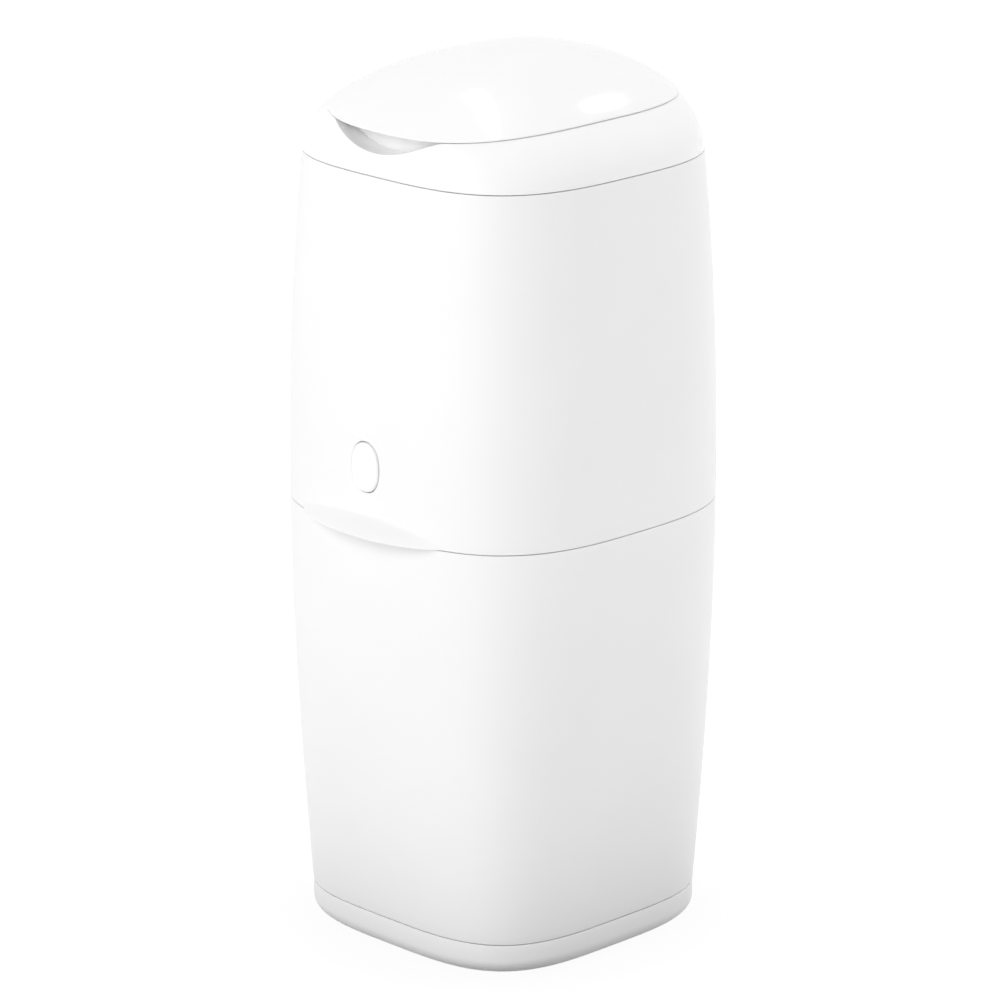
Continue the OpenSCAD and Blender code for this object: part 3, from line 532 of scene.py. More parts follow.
def drill(piece, spots, r, z0, z1):
    """Drills upright holes of radius r from z0 to z1 into a piece."""
    bm = bmesh.new()
    for x, y in spots:
        made = bmesh.ops.create_cone(
            bm, cap_ends=True, segments=40, radius1=r * MM, radius2=r * MM, depth=(z1 - z0) * MM
        )
        bmesh.ops.translate(bm, verts=made["verts"], vec=Vector((x, y, (z0 + z1) / 2)) * MM)
    data = bpy.data.meshes.new("drill")
    bm.to_mesh(data)
    bm.free()
    bit = bpy.data.objects.new("drill", data)
    bpy.context.scene.collection.objects.link(bit)
    cut = piece.modifiers.new("holes", "BOOLEAN")
    cut.object = bit
    cut.solver = "EXACT"
    bpy.context.view_layer.update()
    evaluated = piece.evaluated_get(bpy.context.evaluated_depsgraph_get())
    drilled = bpy.data.meshes.new_from_object(evaluated)
    piece.modifiers.clear()
    piece.data = drilled
    drilled.shade_smooth()
    drilled.set_sharp_from_angle(angle=math.radians(SHARP))
    bpy.data.objects.remove(bit)


def add_bevel(piece, width, segments=2):
    """Rounds the sharp edges of a piece or CAD node with modifiers, which leave its mesh alone."""
    weld = piece.modifiers.new("weld", "WELD")
    weld.merge_threshold = 0.01 * MM
    bevel = piece.modifiers.new("bevel", "BEVEL")
    bevel.width = width * MM
    bevel.segments = segments
    bevel.limit_method = "ANGLE"
    bevel.angle_limit = math.radians(45)
    bevel.harden_normals = True
    return piece


def arc(cy, cz, r, start, end, steps=20):
    """Points of y and z on an arc, angles in degrees from +Y towards +Z."""
    turns = [math.radians(lerp(start, end, i / steps)) for i in range(steps + 1)]
    return [(cy + r * math.cos(a), cz + r * math.sin(a)) for a in turns]


# -------------------- materials

PLASTIC_IOR = 1.49
COAT_ROUGHNESS = 0.12
RUBBER_ROUGHNESS = 0.75
FILM_ROUGHNESS = 0.24


def new_material(name):
    material = bpy.data.materials.new(name)
    material.use_nodes = True
    tree = material.node_tree
    return material, tree, tree.nodes["Principled BSDF"]


def noise(tree, scale, detail=3.0, stretch=(1.0, 1.0, 1.0)):
    """A noise with scale cycles per metre of object, drawn out along an axis of small stretch."""
    coords = tree.nodes.new("ShaderNodeTexCoord")
    mapping = tree.nodes.new("ShaderNodeMapping")
    mapping.inputs["Scale"].default_value = stretch
    texture = tree.nodes.new("ShaderNodeTexNoise")
    texture.inputs["Scale"].default_value = scale
    texture.inputs["Detail"].default_value = detail
    tree.links.new(coords.outputs["Object"], mapping.inputs["Vector"])
    tree.links.new(mapping.outputs["Vector"], texture.inputs["Vector"])
    return texture.outputs["Fac"]


def vary(tree, source, low, high, start=0.35, end=0.65):
    """Maps a source to a value between low and high."""
    node = tree.nodes.new("ShaderNodeMapRange")
    node.inputs["From Min"].default_value = start
    node.inputs["From Max"].default_value = end
    node.inputs["To Min"].default_value = low
    node.inputs["To Max"].default_value = high
    tree.links.new(source, node.inputs["Value"])
    return node.outputs["Result"]


def tint(tree, source, low, high, start=0.35, end=0.65):
    """Maps a source to a colour between low and high."""
    node = tree.nodes.new("ShaderNodeValToRGB")
    first, last = node.color_ramp.elements
    first.position, first.color = start, (*low, 1)
    last.position, last.color = end, (*high, 1)
    tree.links.new(source, node.inputs["Fac"])
    return node.outputs["Color"]


def bump(tree, shader, source, strength, distance_mm):
    node = tree.nodes.new("ShaderNodeBump")
    node.inputs["Strength"].default_value = strength
    node.inputs["Distance"].default_value = distance_mm * MM
    tree.links.new(source, node.inputs["Height"])
    tree.links.new(node.outputs["Normal"], shader.inputs["Normal"])


def plastic(name, color, roughness, grain_mm=0.6, grain=0.12, coat=0.0):
    """Moulded plastic: a faint drift of colour, a changing gloss and a fine moulded grain."""
    material, tree, shader = new_material(name)
    darker = tuple(0.985 * c for c in color)
    tree.links.new(tint(tree, noise(tree, 9.0, 2.0), darker, color), shader.inputs["Base Color"])
    gloss = vary(tree, noise(tree, 60.0, 4.0), 0.9 * roughness, 1.1 * roughness)
    tree.links.new(gloss, shader.inputs["Roughness"])
    bump(tree, shader, noise(tree, 1000 / grain_mm, 2.0), grain, 0.02)
    shader.inputs["IOR"].default_value = PLASTIC_IOR
    shader.inputs["Coat Weight"].default_value = coat
    shader.inputs["Coat Roughness"].default_value = COAT_ROUGHNESS
    return material


def rubber(name, color):
    """Soft rubber: matt, with a dusty variation and a fine grain."""
    material, tree, shader = new_material(name)
    lighter = tuple(min(1, 1.25 * c) for c in color)
    tree.links.new(tint(tree, noise(tree, 140.0, 5.0), color, lighter), shader.inputs["Base Color"])
    shader.inputs["Roughness"].default_value = RUBBER_ROUGHNESS
    bump(tree, shader, noise(tree, 1500.0), 0.25, 0.03)
    return material


def steel(name, color, roughness, stretch=(1.0, 1.0, 1.0)):
    """Steel with fine drawn lines, which run along an axis of small stretch."""
    material, tree, shader = new_material(name)
    lines = noise(tree, 900.0, 3.0, stretch)
    darker = tuple(0.86 * c for c in color)
    tree.links.new(tint(tree, lines, darker, color), shader.inputs["Base Color"])
    tree.links.new(vary(tree, lines, 0.8 * roughness, 1.3 * roughness), shader.inputs["Roughness"])
    bump(tree, shader, lines, 0.15, 0.01)
    shader.inputs["Metallic"].default_value = 1.0
    return material


def film():
    """Thin polythene film: a soft blue that creases and shines."""
    material, tree, shader = new_material("film_blue")
    creases = noise(tree, 260.0, 4.0, (1.0, 1.0, 3.0))
    # The blue darkens where the crease noise sinks, as painted shade in the hollows of the folds.
    color = tint(tree, creases, (0.38, 0.60, 0.76), (0.55, 0.74, 0.86))
    tree.links.new(color, shader.inputs["Base Color"])
    shader.inputs["Roughness"].default_value = FILM_ROUGHNESS
    bump(tree, shader, creases, 0.5, 0.2)
    return material


WHITE = (0.90, 0.90, 0.90)
# The gloss white of the lid, collar and button: their own white, made lighter than WHITE with
# painted light that stands in for the brighter light on the lid and collar.
GLOSS_WHITE_PAINTED_LIGHTER = (0.93, 0.93, 0.93)
MATERIALS = {
    "white_plastic": plastic("satin_white", WHITE, 0.38),
    "gloss_white_plastic": plastic("gloss_white", GLOSS_WHITE_PAINTED_LIGHTER, 0.45, 9.0, 0.02, coat=1.0),
    "inner_plastic": plastic("inner_grey", (0.62, 0.63, 0.64), 0.45, grain=0.2),
    "jaw_plastic": plastic("jaw_blue_grey", (0.17, 0.21, 0.26), 0.45, grain=0.2),
    "cutter_plastic": plastic("cutter_orange", (0.78, 0.17, 0.02), 0.4, grain=0.15),
    "cassette_plastic": plastic("cassette_pale", (0.70, 0.78, 0.84), 0.35, grain=0.1),
    "cap_plastic": plastic("cap_blue", (0.10, 0.34, 0.58), 0.35, grain=0.1),
    "film": film(),
    "foot_rubber": rubber("foot_rubber", (0.10, 0.10, 0.105)),
    "seal_rubber": rubber("seal_grey", (0.36, 0.37, 0.38)),
    "pad_rubber": rubber("pad_black", (0.06, 0.06, 0.065)),
    "screw_steel": steel("screw_zinc", (0.62, 0.62, 0.64), 0.32),
    "pin_steel": steel("pin_bright", (0.66, 0.66, 0.68), 0.2, (0.03, 1.0, 1.0)),
    "sheet_steel": steel("sheet_brushed", (0.66, 0.66, 0.68), 0.28, (0.05, 1.0, 1.0)),
    "spring_steel": steel("spring_wire", (0.50, 0.51, 0.54), 0.25),
}


# -------------------- base

def foot_ring():
    edge = [
        (foot_plan(FEET_PROUD + FOOT_ROUND * (1 - math.cos(a)), FOOT_ROUND * (1 - math.sin(a))), 0)
        for a in np.linspace(0, math.pi / 2, 13)
    ]
    stations = edge + [
        (foot_plan(lerp(FEET_PROUD + FOOT_ROUND, FOOT_TOP, 0.5), 0), 0),
        (foot_plan(FOOT_TOP, 0), 0.3),
        (foot_plan(FOOT_TOP, WALL), 0.3),
        (foot_plan(FEET_PROUD + FOOT_ROUND, WALL), 0),
        (foot_plan(FOOT_FLOOR, WALL + 5), 0),
    ]
    shell = skin("foot_shell", stations, "base", "white_plastic", stands_for=["foot_ring"])
    spots = at_corners(FOOT_SCREW_OFF, FOOT_SCREW_OFF)
    drill(shell, spots, FOOT_HOLE_R, FEET_PROUD - 1, FEET_PROUD + FOOT_HOLE_D)
    low = FOOT_FLOOR - SUNK
    for i, (x, y) in enumerate(spots):
        post(f"foot_boss_{i + 1}", x, y, low, BUCKET_BASE, FOOT_BOSS_R, "base", "white_plastic")


def lower_bucket():
    low = FOOT_Z + HALF_GAP
    floor_edge = FOOT_Z + 4
    rim_root = SEAM_Z - 12
    stations = [
        (foot_plan(BUCKET_BASE, WALL + FOOT_LIP + 2), 0),
        (foot_plan(BUCKET_BASE + 2, WALL + FOOT_LIP), 0),
        (foot_plan(low, WALL + FOOT_LIP), 0.2),
        (body_ring(low), 0.3),
        *between(low, RIM_Z, 40, body_ring),
        (body_ring(RIM_Z), 0.3),
        (body_ring(RIM_Z, UPSTAND_IN), 0.3),
        (body_ring(UPSTAND_TOP, UPSTAND_IN), 0.7),
        (body_ring(UPSTAND_TOP, UPSTAND_INNER), 0.4),
        (body_ring(SEAM_Z - 5, UPSTAND_INNER), 1.0),
        (body_ring(rim_root, WALL), 1.0),
        *between(rim_root, floor_edge, 24, lambda z: body_ring(z, WALL)),
        (foot_plan(floor_edge, WALL + 1.5), 2.0),
        (foot_plan(BUCKET_FLOOR, WALL + 6), 1.5),
        (foot_plan(BUCKET_FLOOR, WALL + 20), 0),
    ]
    skin("bucket_shell", stations, "base", "white_plastic", stands_for=["lower_bucket"])
    low, top = BUCKET_FLOOR - SUNK, BUCKET_BASE + 1 + FOOT_BOSS_H
    for i, (x, y) in enumerate(at_corners(FOOT_SCREW_OFF, FOOT_SCREW_OFF)):
        post(f"bucket_boss_{i + 1}", x, y, low, top, FOOT_BOSS_R, "base", "white_plastic")


def main_hinge():
    """The bucket's hinge lugs and the housing's knuckle, with ribs that taper into the walls."""
    y = half_at(SEAM_Z) + KNUCKLE_R + HINGE_GAP
    neck = y - KNUCKLE_R + 0.6
    root = y - KNUCKLE_R - HINGE_GAP - WALL
    low = arc(y, SEAM_Z, KNUCKLE_R, -90, 150) + [
        (neck, SEAM_Z - HALF_GAP),
        (root + 0.5, SEAM_Z - HALF_GAP),
        (root + 0.5, SEAM_Z - HINGE_RIB_H),
        (root + 2.1, SEAM_Z - HINGE_RIB_H),
    ]
    high = arc(y, SEAM_Z, KNUCKLE_R, -150, 90) + [
        (root + 3, SEAM_Z + HINGE_RIB_H),
        (root + 1.5, SEAM_Z + HINGE_RIB_H),
        (root + 1.5, SEAM_Z + HALF_GAP),
        (neck, SEAM_Z + HALF_GAP),
    ]
    lug_pair("bucket_lug", low, KNUCKLE_HALF + LUG_PLAY, LUG_W, "base", "white_plastic")
    prism_x("housing_knuckle", high, -KNUCKLE_HALF, KNUCKLE_HALF, "upper", "white_plastic")


def rim_seal():
    stations = [
        (body_ring(UPSTAND_TOP, UPSTAND_IN + 0.5), 0.2),
        (body_ring(UPSTAND_TOP + SEAL_H, UPSTAND_IN + 0.9), 0.7),
        (body_ring(UPSTAND_TOP + SEAL_H, UPSTAND_INNER - 0.4), 0.7),
        (body_ring(UPSTAND_TOP, UPSTAND_INNER), 0.2),
    ]
    skin("rim_bead", stations, "base", "seal_rubber", closed=True, stands_for=["rim_seal"])


# -------------------- upper housing

def upper_housing():
    """The housing's shell, with an oval hole for the button through its front wall."""
    lip_top = SEAM_Z + LIP_H + 1
    lip_in = LIP_OUT - WALL
    outer = [(housing_ring(HOUSING_Z), 0.3)]
    outer += [(housing_ring(lerp(HOUSING_Z, lip_top, i / 16)), 0) for i in range(1, 17)]
    outer += between(lip_top, COLLAR_Z - HALF_GAP, 64, body_ring)
    outer += [(body_ring(COLLAR_Z - HALF_GAP), SEAM_ROUND)]
    inner = [
        (body_ring(COLLAR_Z - HALF_GAP, WALL), 0.3),
        (body_ring(DECK_Z, WALL), 0),
        (body_ring(DECK_Z, SHELF_IN), 0.4),
        (body_ring(DECK_Z - SHELF_T, SHELF_IN), 0.4),
        (body_ring(DECK_Z - SHELF_T - SHELF_IN + WALL, WALL), 0),
        *between(DECK_Z - DECK_BOSS_H, RIM_LEDGE_Z + 9, 50, lambda z: body_ring(z, WALL)),
        (body_ring(RIM_LEDGE_Z + RIM_LEDGE_T + 4, WALL), 0),
        (body_ring(RIM_LEDGE_Z + RIM_LEDGE_T, RIM_LEDGE_IN), 0.4),
        (body_ring(RIM_LEDGE_Z, RIM_LEDGE_IN), 0.4),
        (body_ring(RIM_LEDGE_Z, WALL), 0),
        *[(housing_ring(HOUSING_Z + u * LIP_H, WALL, lip_in), 0) for u in (0.5, 0.375, 0.25, 0.12)],
        (housing_ring(HOUSING_Z, WALL, lip_in), 0.3),
    ]
    rings = soften(outer + inner, closed=True)
    points = list(np.concatenate(rings))
    windows = [window(rings, 0.0), window(rings, WALL)]
    cut = {(i, j) for rows, columns in windows for i in rows[:-1] for j in columns[:-1]}
    faces = skin_faces(len(rings), AROUND, True, cut)
    holes = [
        window_patch(points, faces, around_window(rows, columns), inset, side)
        for (rows, columns), inset, side in zip(windows, (0.0, WALL), (1, -1))
    ]
    bridge(faces, *holes)
    mesh("housing_shell", points, faces, "upper", "white_plastic", stands_for=["upper_housing"])
    off = corner_at(DECK_Z, WALL + DECK_BOSS_R + 0.6)
    low, top = DECK_Z - DECK_BOSS_H, DECK_Z - 0.05
    for i, (x, y) in enumerate(at_corners(off, off)):
        post(f"housing_boss_{i + 1}", x, y, low, top, DECK_BOSS_R, "upper", "white_plastic")


def window(rings, inset):
    """Rows and columns of the patch round the button's hole, in the wall's face at that inset."""
    heights = np.array([ring[0, 2] for ring in rings])
    fronts = np.array([ring[FRONT, 1] for ring in rings])
    near = 1.0
    on_face = np.abs(fronts + half_at(BUTTON_Z) - inset) < near
    rows = np.flatnonzero(on_face & (np.abs(heights - BUTTON_Z) < WINDOW_UP))
    return rows, np.arange(FRONT - WINDOW_HALF, FRONT + WINDOW_HALF + 1)


def around_window(rows, columns):
    """Indices of the points round a window, in order."""
    loop = [(rows[0], j) for j in columns[:-1]]
    loop += [(i, columns[-1]) for i in rows[:-1]]
    loop += [(rows[-1], j) for j in columns[:0:-1]]
    loop += [(i, columns[0]) for i in rows[:0:-1]]
    return [i * AROUND + j for i, j in loop]


def window_patch(points, faces, loop, inset, side):
    """Fills a window up to the rounded rim of the button's hole. Returns the rim and its angles."""
    edge = np.array([points[v] for v in loop])
    angles = np.arctan2(edge[:, 2] - BUTTON_Z, edge[:, 0])
    rim = oval_at(angles, BUTTON_GAP + HOLE_FILLET)
    ring = loop
    for u in (0.3, 0.55, 0.75, 0.9, 1.0):
        x = lerp(edge[:, 0], rim[:, 0], u)
        z = lerp(edge[:, 2], rim[:, 1] + BUTTON_Z, u)
        ring = add_ring(points, faces, ring, x, z, inset, 0.0)
    for a in np.linspace(0, math.pi / 2, 6)[1:]:
        oval = oval_at(angles, BUTTON_GAP + HOLE_FILLET * (1 - math.sin(a)))
        deep = side * HOLE_FILLET * (1 - math.cos(a))
        ring = add_ring(points, faces, ring, oval[:, 0], oval[:, 1] + BUTTON_Z, inset, deep)
    return ring, angles


def add_ring(points, faces, previous, x, z, inset, deep):
    """Adds a ring on the wall, set back by deep, and joins it to the previous one."""
    start = len(points)
    points.extend(np.array([a, deep - reach_at(a, b, inset), b]) for a, b in zip(x, z))
    ring = list(range(start, start + len(x)))
    for j in range(len(x)):
        k = (j + 1) % len(x)
        faces.append((previous[j], previous[k], ring[k], ring[j]))
    return ring


def bridge(faces, outer_hole, inner_hole):
    """Joins the rims of the hole through the wall's thickness, matching them by their angle."""
    (outer, t0), (inner, t1) = [
        zip(*sorted(zip(ring, angles), key=lambda pair: pair[1]))
        for ring, angles in (outer_hole, inner_hole)
    ]
    t0, t1 = t0 + (t0[0] + 2 * math.pi,), t1 + (t1[0] + 2 * math.pi,)
    i = j = 0
    while i < len(outer) or j < len(inner):
        a, b = outer[i % len(outer)], inner[j % len(inner)]
        if j >= len(inner) or (i < len(outer) and t0[i + 1] <= t1[j + 1]):
            i += 1
            faces.append((a, outer[i % len(outer)], b))
        else:
            j += 1
            faces.append((b, a, inner[j % len(inner)]))


# -------------------- collar and lid

def collar():
    """The collar's shell, with a pocket for the fingers: an arched floor and an upright back."""
    top = scoop_edge()
    stations = [(collar_ring(top * u), 0) for u in np.linspace(0, 1, 28)]
    stations[0] = (stations[0][0], SEAM_ROUND)
    edge = stations[-1][0]
    stations[-1] = (edge, SEAM_ROUND)
    land = edge_ring(inner_outline(LAND_W), -HALF_GAP)
    stations += [(ring, radius) for ring, radius in zip(scoop_rings(edge, land), (0.5, 0.3))]
    stations += [
        (land, 0.6),
        (inner_ring(SEAT_Z, LAND_W), 0.5),
        (inner_ring(SEAT_Z, THROAT_IN), 0.6),
        (inner_ring(THROAT_Z, THROAT_IN), 0.6),
        (inner_ring(THROAT_Z, THROAT_IN - THROAT_T), 0.6),
        (seat_under(inner_ring(SEAT_Z - 4, THROAT_IN - THROAT_T)), 0),
        (seat_under(plan_ring(SEAT_Z - 4, SKIN + 4.5, COLLAR_Z)), 0),
        (plan_ring(COLLAR_Z + 3, WALL + FACE_GAP + SPIGOT_T, COLLAR_Z), 0),
        (body_ring(SPIGOT_Z, WALL + FACE_GAP + SPIGOT_T), 0.4),
        (body_ring(SPIGOT_Z, WALL + FACE_GAP), 0.4),
        (plan_ring(COLLAR_Z + HALF_GAP, WALL + FACE_GAP, COLLAR_Z), 0),
    ]
    gloss = "gloss_white_plastic"
    skin("collar_shell", stations, "upper", gloss, closed=True, stands_for=["collar"])
    root = LID_AXIS_Y - LID_KNUCKLE_R - 5
    profile = arc(LID_AXIS_Y, LID_AXIS_Z, LID_KNUCKLE_R, -90, 90) + [
        (root, LID_AXIS_Z + LID_KNUCKLE_R),
        (root, LID_AXIS_Z - 3 * LID_KNUCKLE_R),
    ]
    lug_pair("collar_lug", profile, LID_KNUCKLE_HALF + LUG_PLAY, LID_LUG_W, "upper", gloss)


def scoop_rings(edge, land):
    """The inner edge of the scoop's floor and the top of its back, on the land beside it."""
    x = edge[:, 0]
    depth = front_of_lid(x, LID_FRONT - SCOOP_D)
    crease = np.column_stack([x, depth, edge[:, 2]])
    brow = np.column_stack([x, depth, edge_z(depth) - HALF_GAP])
    beside = ease((np.abs(x) - SCOOP_W / 2) / SCOOP_BLEND)
    beside[edge[:, 1] > 0] = 1
    plain = lerp(edge, land, 0.5)
    for ring in (crease, brow):
        ring[:] = lerp(ring, plain, beside[:, None])
    return crease, lerp(brow, land, (0.3 * beside)[:, None])


def seat_under(ring):
    """Lowers a ring under the seat, to leave a skin under the scoop."""
    under = np.minimum(ring[:, 2], scoop_floor(ring[:, 0]) - SKIN)
    return np.column_stack([ring[:, :2], np.where(ring[:, 1] < 0, under, ring[:, 2])])


def lid():
    """The dome, from its underside's middle round the edge to the crown, its knuckle and posts."""
    gloss = "gloss_white_plastic"
    inner = [0.05, 0.2, 0.35, 0.5, 0.62, 0.72, 0.8, 0.87, 0.93, 0.97]
    outer = [1.0, 0.995, 0.985, 0.97, 0.95, 0.925, 0.9, 0.86, 0.82, 0.77, 0.72]
    outer += [0.66, 0.6, 0.53, 0.46, 0.39, 0.32, 0.25, 0.18, 0.12, 0.06, 0.02]
    stations = [(dome_ring(s, LID_T, LID_T), 0) for s in inner]
    stations += [(dome_ring(1.0, LID_T, LID_T), 0.3), (dome_ring(1.0), SEAM_ROUND)]
    stations += [(dome_ring(s, 0, 0, LID_RIM), SEAM_ROUND if s == 1.0 else 0) for s in outer]
    skin("lid_dome", stations, "lid", gloss, stands_for=["lid_shell"])
    under = LID_AXIS_DOWN + HALF_GAP
    root = LID_AXIS_Y - LID_KNUCKLE_R - 4.6
    profile = arc(LID_AXIS_Y, LID_AXIS_Z, LID_KNUCKLE_R, -180, 0) + [
        (LID_AXIS_Y + LID_KNUCKLE_R, LID_AXIS_Z + 0.5 * under),
        (LID_AXIS_Y, LID_AXIS_Z + under),
        (LID_AXIS_Y - LID_KNUCKLE_R, LID_AXIS_Z + under + LID_RIM),
        (root, LID_AXIS_Z + under + LID_RIM),
        (root, LID_AXIS_Z + under),
        (LID_AXIS_Y + 0.5 - LID_KNUCKLE_R, LID_AXIS_Z + under),
    ]
    prism_x("lid_knuckle", profile, -LID_KNUCKLE_HALF, LID_KNUCKLE_HALF, "lid", gloss)
    low, top = LINER_Z + LINER_T, LINER_Z + 20
    for i, (x, y) in enumerate(at_corners(POST_X, POST_Y)):
        post(f"lid_post_{i + 1}", x, y + POST_BACK, low, top, POST_R, "lid", gloss)


def lid_liner():
    """The tray that closes the lid's underside."""
    top = dome_ring(LINER_TOP, LID_T, LID_T + 3 * FACE_GAP)
    inside = top * (0.975, 0.975, 1)
    stations = [
        (inner_ring(LINER_Z, LINER_IN + 12), 0),
        (inner_ring(LINER_Z, LINER_IN), 0.8),
        (top, 0.3),
        (inside, 0.3),
        (inner_ring(LINER_Z + LINER_T, LINER_IN + 2), 0.8),
        (inner_ring(LINER_Z + LINER_T, LINER_IN + 14), 0),
    ]
    skin("liner_tray", stations, "lid", "inner_plastic", stands_for=["lid_liner"])


def lid_seal():
    stations = [
        (inner_ring(SEAT_Z + FACE_GAP, LINER_IN + 1), 0.6),
        (inner_ring(LINER_Z, LINER_IN + 0.4), 0.2),
        (inner_ring(LINER_Z, LINER_IN + 3.4), 0.2),
        (inner_ring(SEAT_Z + FACE_GAP, LINER_IN + 2.8), 0.6),
    ]
    skin("lid_bead", stations[::-1], "lid", "seal_rubber", closed=True, stands_for=["lid_seal"])


# -------------------- deck, cassette and clamp

def mouth_ring(grow):
    """Ring round the chute's mouth over the jaws."""
    half, deep = MOUTH_HALF + grow, MOUTH_DEEP + grow
    return level(outline(half, deep, deep, CHUTE_SQUARE), FRAME_TOP)


def cassette_deck():
    """The deck with the cassette's seat, and its chute, from a circle to the clamp's mouth."""
    throat, mouth = round_ring(DECK_TOP, THROAT_R + 2), mouth_ring(0)
    under, skirt = round_ring(DECK_Z, THROAT_R + 2 + DECK_T), mouth_ring(CHUTE_T)
    stations = [
        (body_ring(DECK_Z, WALL + FACE_GAP), 0.4),
        (body_ring(DECK_TOP, WALL + FACE_GAP), 0.4),
        (round_ring(DECK_TOP, LOCATOR_R + LOCATOR_T), 0.4),
        (round_ring(DECK_TOP + LOCATOR_H, LOCATOR_R + 1.6), 0.5),
        (round_ring(DECK_TOP + LOCATOR_H, LOCATOR_R), 0.5),
        (round_ring(DECK_TOP, LOCATOR_R), 0.3),
        (throat, 1.5),
        *[(lerp(throat, mouth, u), 0) for u in (0.25, 0.5, 0.75)],
        (mouth, 0.4),
        (skirt, 0.4),
        *[(lerp(skirt, under, u), 0) for u in (0.25, 0.5, 0.75)],
        (under, 1.0),
    ]
    grey = "inner_plastic"
    skin("deck_plate", stations, "upper", grey, closed=True, stands_for=["cassette_deck"])
    for i, (x, y) in enumerate(at_corners(ROD_OFF, PILLAR_Y)):
        post(f"deck_pillar_{i + 1}", x, y, FRAME_TOP, DECK_Z + SUNK, PILLAR_R, "upper", grey)


def film_pack():
    """The film tube, gathered into many fine pleats that stack up round the cassette."""
    up, room, play = 2.1, 8.2, 0.7
    pleats, pleat_depth, margin = 15, 0.9, 0.3
    base = DECK_TOP + FACE_GAP + up
    height = CASSETTE_H - room
    inner, outer = THROAT_R + CASSETTE_WALL + play, CASSETTE_R - CASSETTE_WALL - play
    turns = np.linspace(0, 2 * np.pi, AROUND, endpoint=False)

    def pleat_ring(r, step, side):
        fold = pleat_depth if step % 2 else 0.0
        crumple = 0.18 * np.sin(17 * turns + 2.1 * step) + 0.12 * np.sin(41 * turns + 0.7 * step)
        radius = r + side * (fold + margin + crumple)
        sag = 0.1 * np.sin(23 * turns + 1.3 * step)
        z = base + np.clip(height * step / (2 * pleats) + sag, 0, height)
        return np.column_stack([radius * np.cos(turns), radius * np.sin(turns), z])

    steps = range(2 * pleats + 1)
    stations = [(pleat_ring(outer, step, -1), 0) for step in steps]
    stations += [(pleat_ring(inner, step, 1), 0) for step in reversed(steps)]
    replaced = ["film_pack"]
    skin("film_pleats", stations, "cassette", "film", closed=True, stands_for=replaced, sharp=70.0)


def jaw_pad(name, face, grip, body, stands_for):
    """A rubber pad on a jaw, from face to grip, with fine ridges along its gripping side."""
    ridges = 6
    high = JAW_H / 2 - 1

    def ridged(u):
        return lerp(face, grip, 1 - PAD_RIDGE + PAD_RIDGE * math.cos(2 * math.pi * ridges * u))

    rows = np.linspace(0, 1, 12 * ridges + 1)
    wave = [(ridged(u), ROD_Z + lerp(-high, high, u)) for u in rows]
    profile = [(face, ROD_Z + high), (face, ROD_Z - high)] + wave
    if grip < face:
        profile = profile[::-1]
    prism_x(name, profile, -MOUTH_HALF, MOUTH_HALF, body, "pad_rubber", 0.25, [stands_for])


def jaw_pads():
    fixed = -JAW_MEET - FACE_GAP / 2
    sliding = -JAW_MEET + FACE_GAP / 2
    jaw_pad("fixed_pad_ribbed", fixed - PAD_T, fixed, "upper", "fixed_jaw_pad")
    jaw_pad("sliding_pad_ribbed", sliding + PAD_T, sliding, "jaw", "sliding_jaw_pad")


def coil(x, z, y0, y1, r, turns):
    """Points and faces of a compression spring along Y, whose end turns lie close."""
    steps, sides = 32 * turns, 8
    closeness = 0.55 / turns
    points = []
    for i in range(steps + 1):
        u = i / steps
        a = 2 * math.pi * turns * u
        along = u - closeness * math.sin(2 * math.pi * u)
        y = lerp(y0 + SPRING_WIRE, y1 - SPRING_WIRE, along)
        for k in range(sides):
            q = 2 * math.pi * k / sides
            out = r + SPRING_WIRE * math.cos(q)
            along_y = y + SPRING_WIRE * math.sin(q)
            points.append((x + out * math.cos(a), along_y, z + out * math.sin(a)))
    faces = []
    for i in range(steps):
        for k in range(sides):
            a, b = i * sides + k, i * sides + (k + 1) % sides
            faces.append((a, a + sides, b + sides, b))
    faces.append(tuple(range(sides)))
    faces.append(tuple(reversed(range(steps * sides, (steps + 1) * sides))))
    return points, faces


def springs():
    """The springs behind the sliding jaw and behind the button, each on a mesh of its own.

    Returns the depth of the latch guide's back wall, which the button's stem passes.
    """
    fixed_end = reach_at(ROD_OFF + ROD_LUG_HALF, FRAME_TOP, WALL + FRAME_PLAY) - ROD_LUG_T
    long = JAW_TRAVEL + 2 * SPRING_WIRE * JAW_SPRING_TURNS + JAW_SPRING_ROOM
    r = ROD_R + 2 * SPRING_WIRE
    points, faces = [], []
    for x in (ROD_OFF, -ROD_OFF):
        p, f = coil(x, ROD_Z, fixed_end - long, fixed_end, r, JAW_SPRING_TURNS)
        faces += [tuple(v + len(points) for v in face) for face in f]
        points += p
    piece = mesh("jaw_coils", points, faces, "upper", "spring_steel", 60.0, ["jaw_springs"])
    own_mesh(piece)

    keeper_y = half_at(SEAM_Z) - UPSTAND_INNER - FACE_GAP
    keeper_tip = keeper_y - KEEPER_T - HOOK_CATCH - HOOK_PLAY
    start = -keeper_tip + HOOK_BACK + HOOK_T
    long = 2 * SPRING_WIRE * LATCH_SPRING_TURNS + BUTTON_TRAVEL + LATCH_SPRING_ROOM
    r = STEM_R + 2 * SPRING_WIRE
    points, faces = coil(0, BUTTON_Z, start, start + long, r, LATCH_SPRING_TURNS)
    piece = mesh("latch_coil", points, faces, "upper", "spring_steel", 60.0, ["latch_spring"])
    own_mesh(piece)
    return -start - long


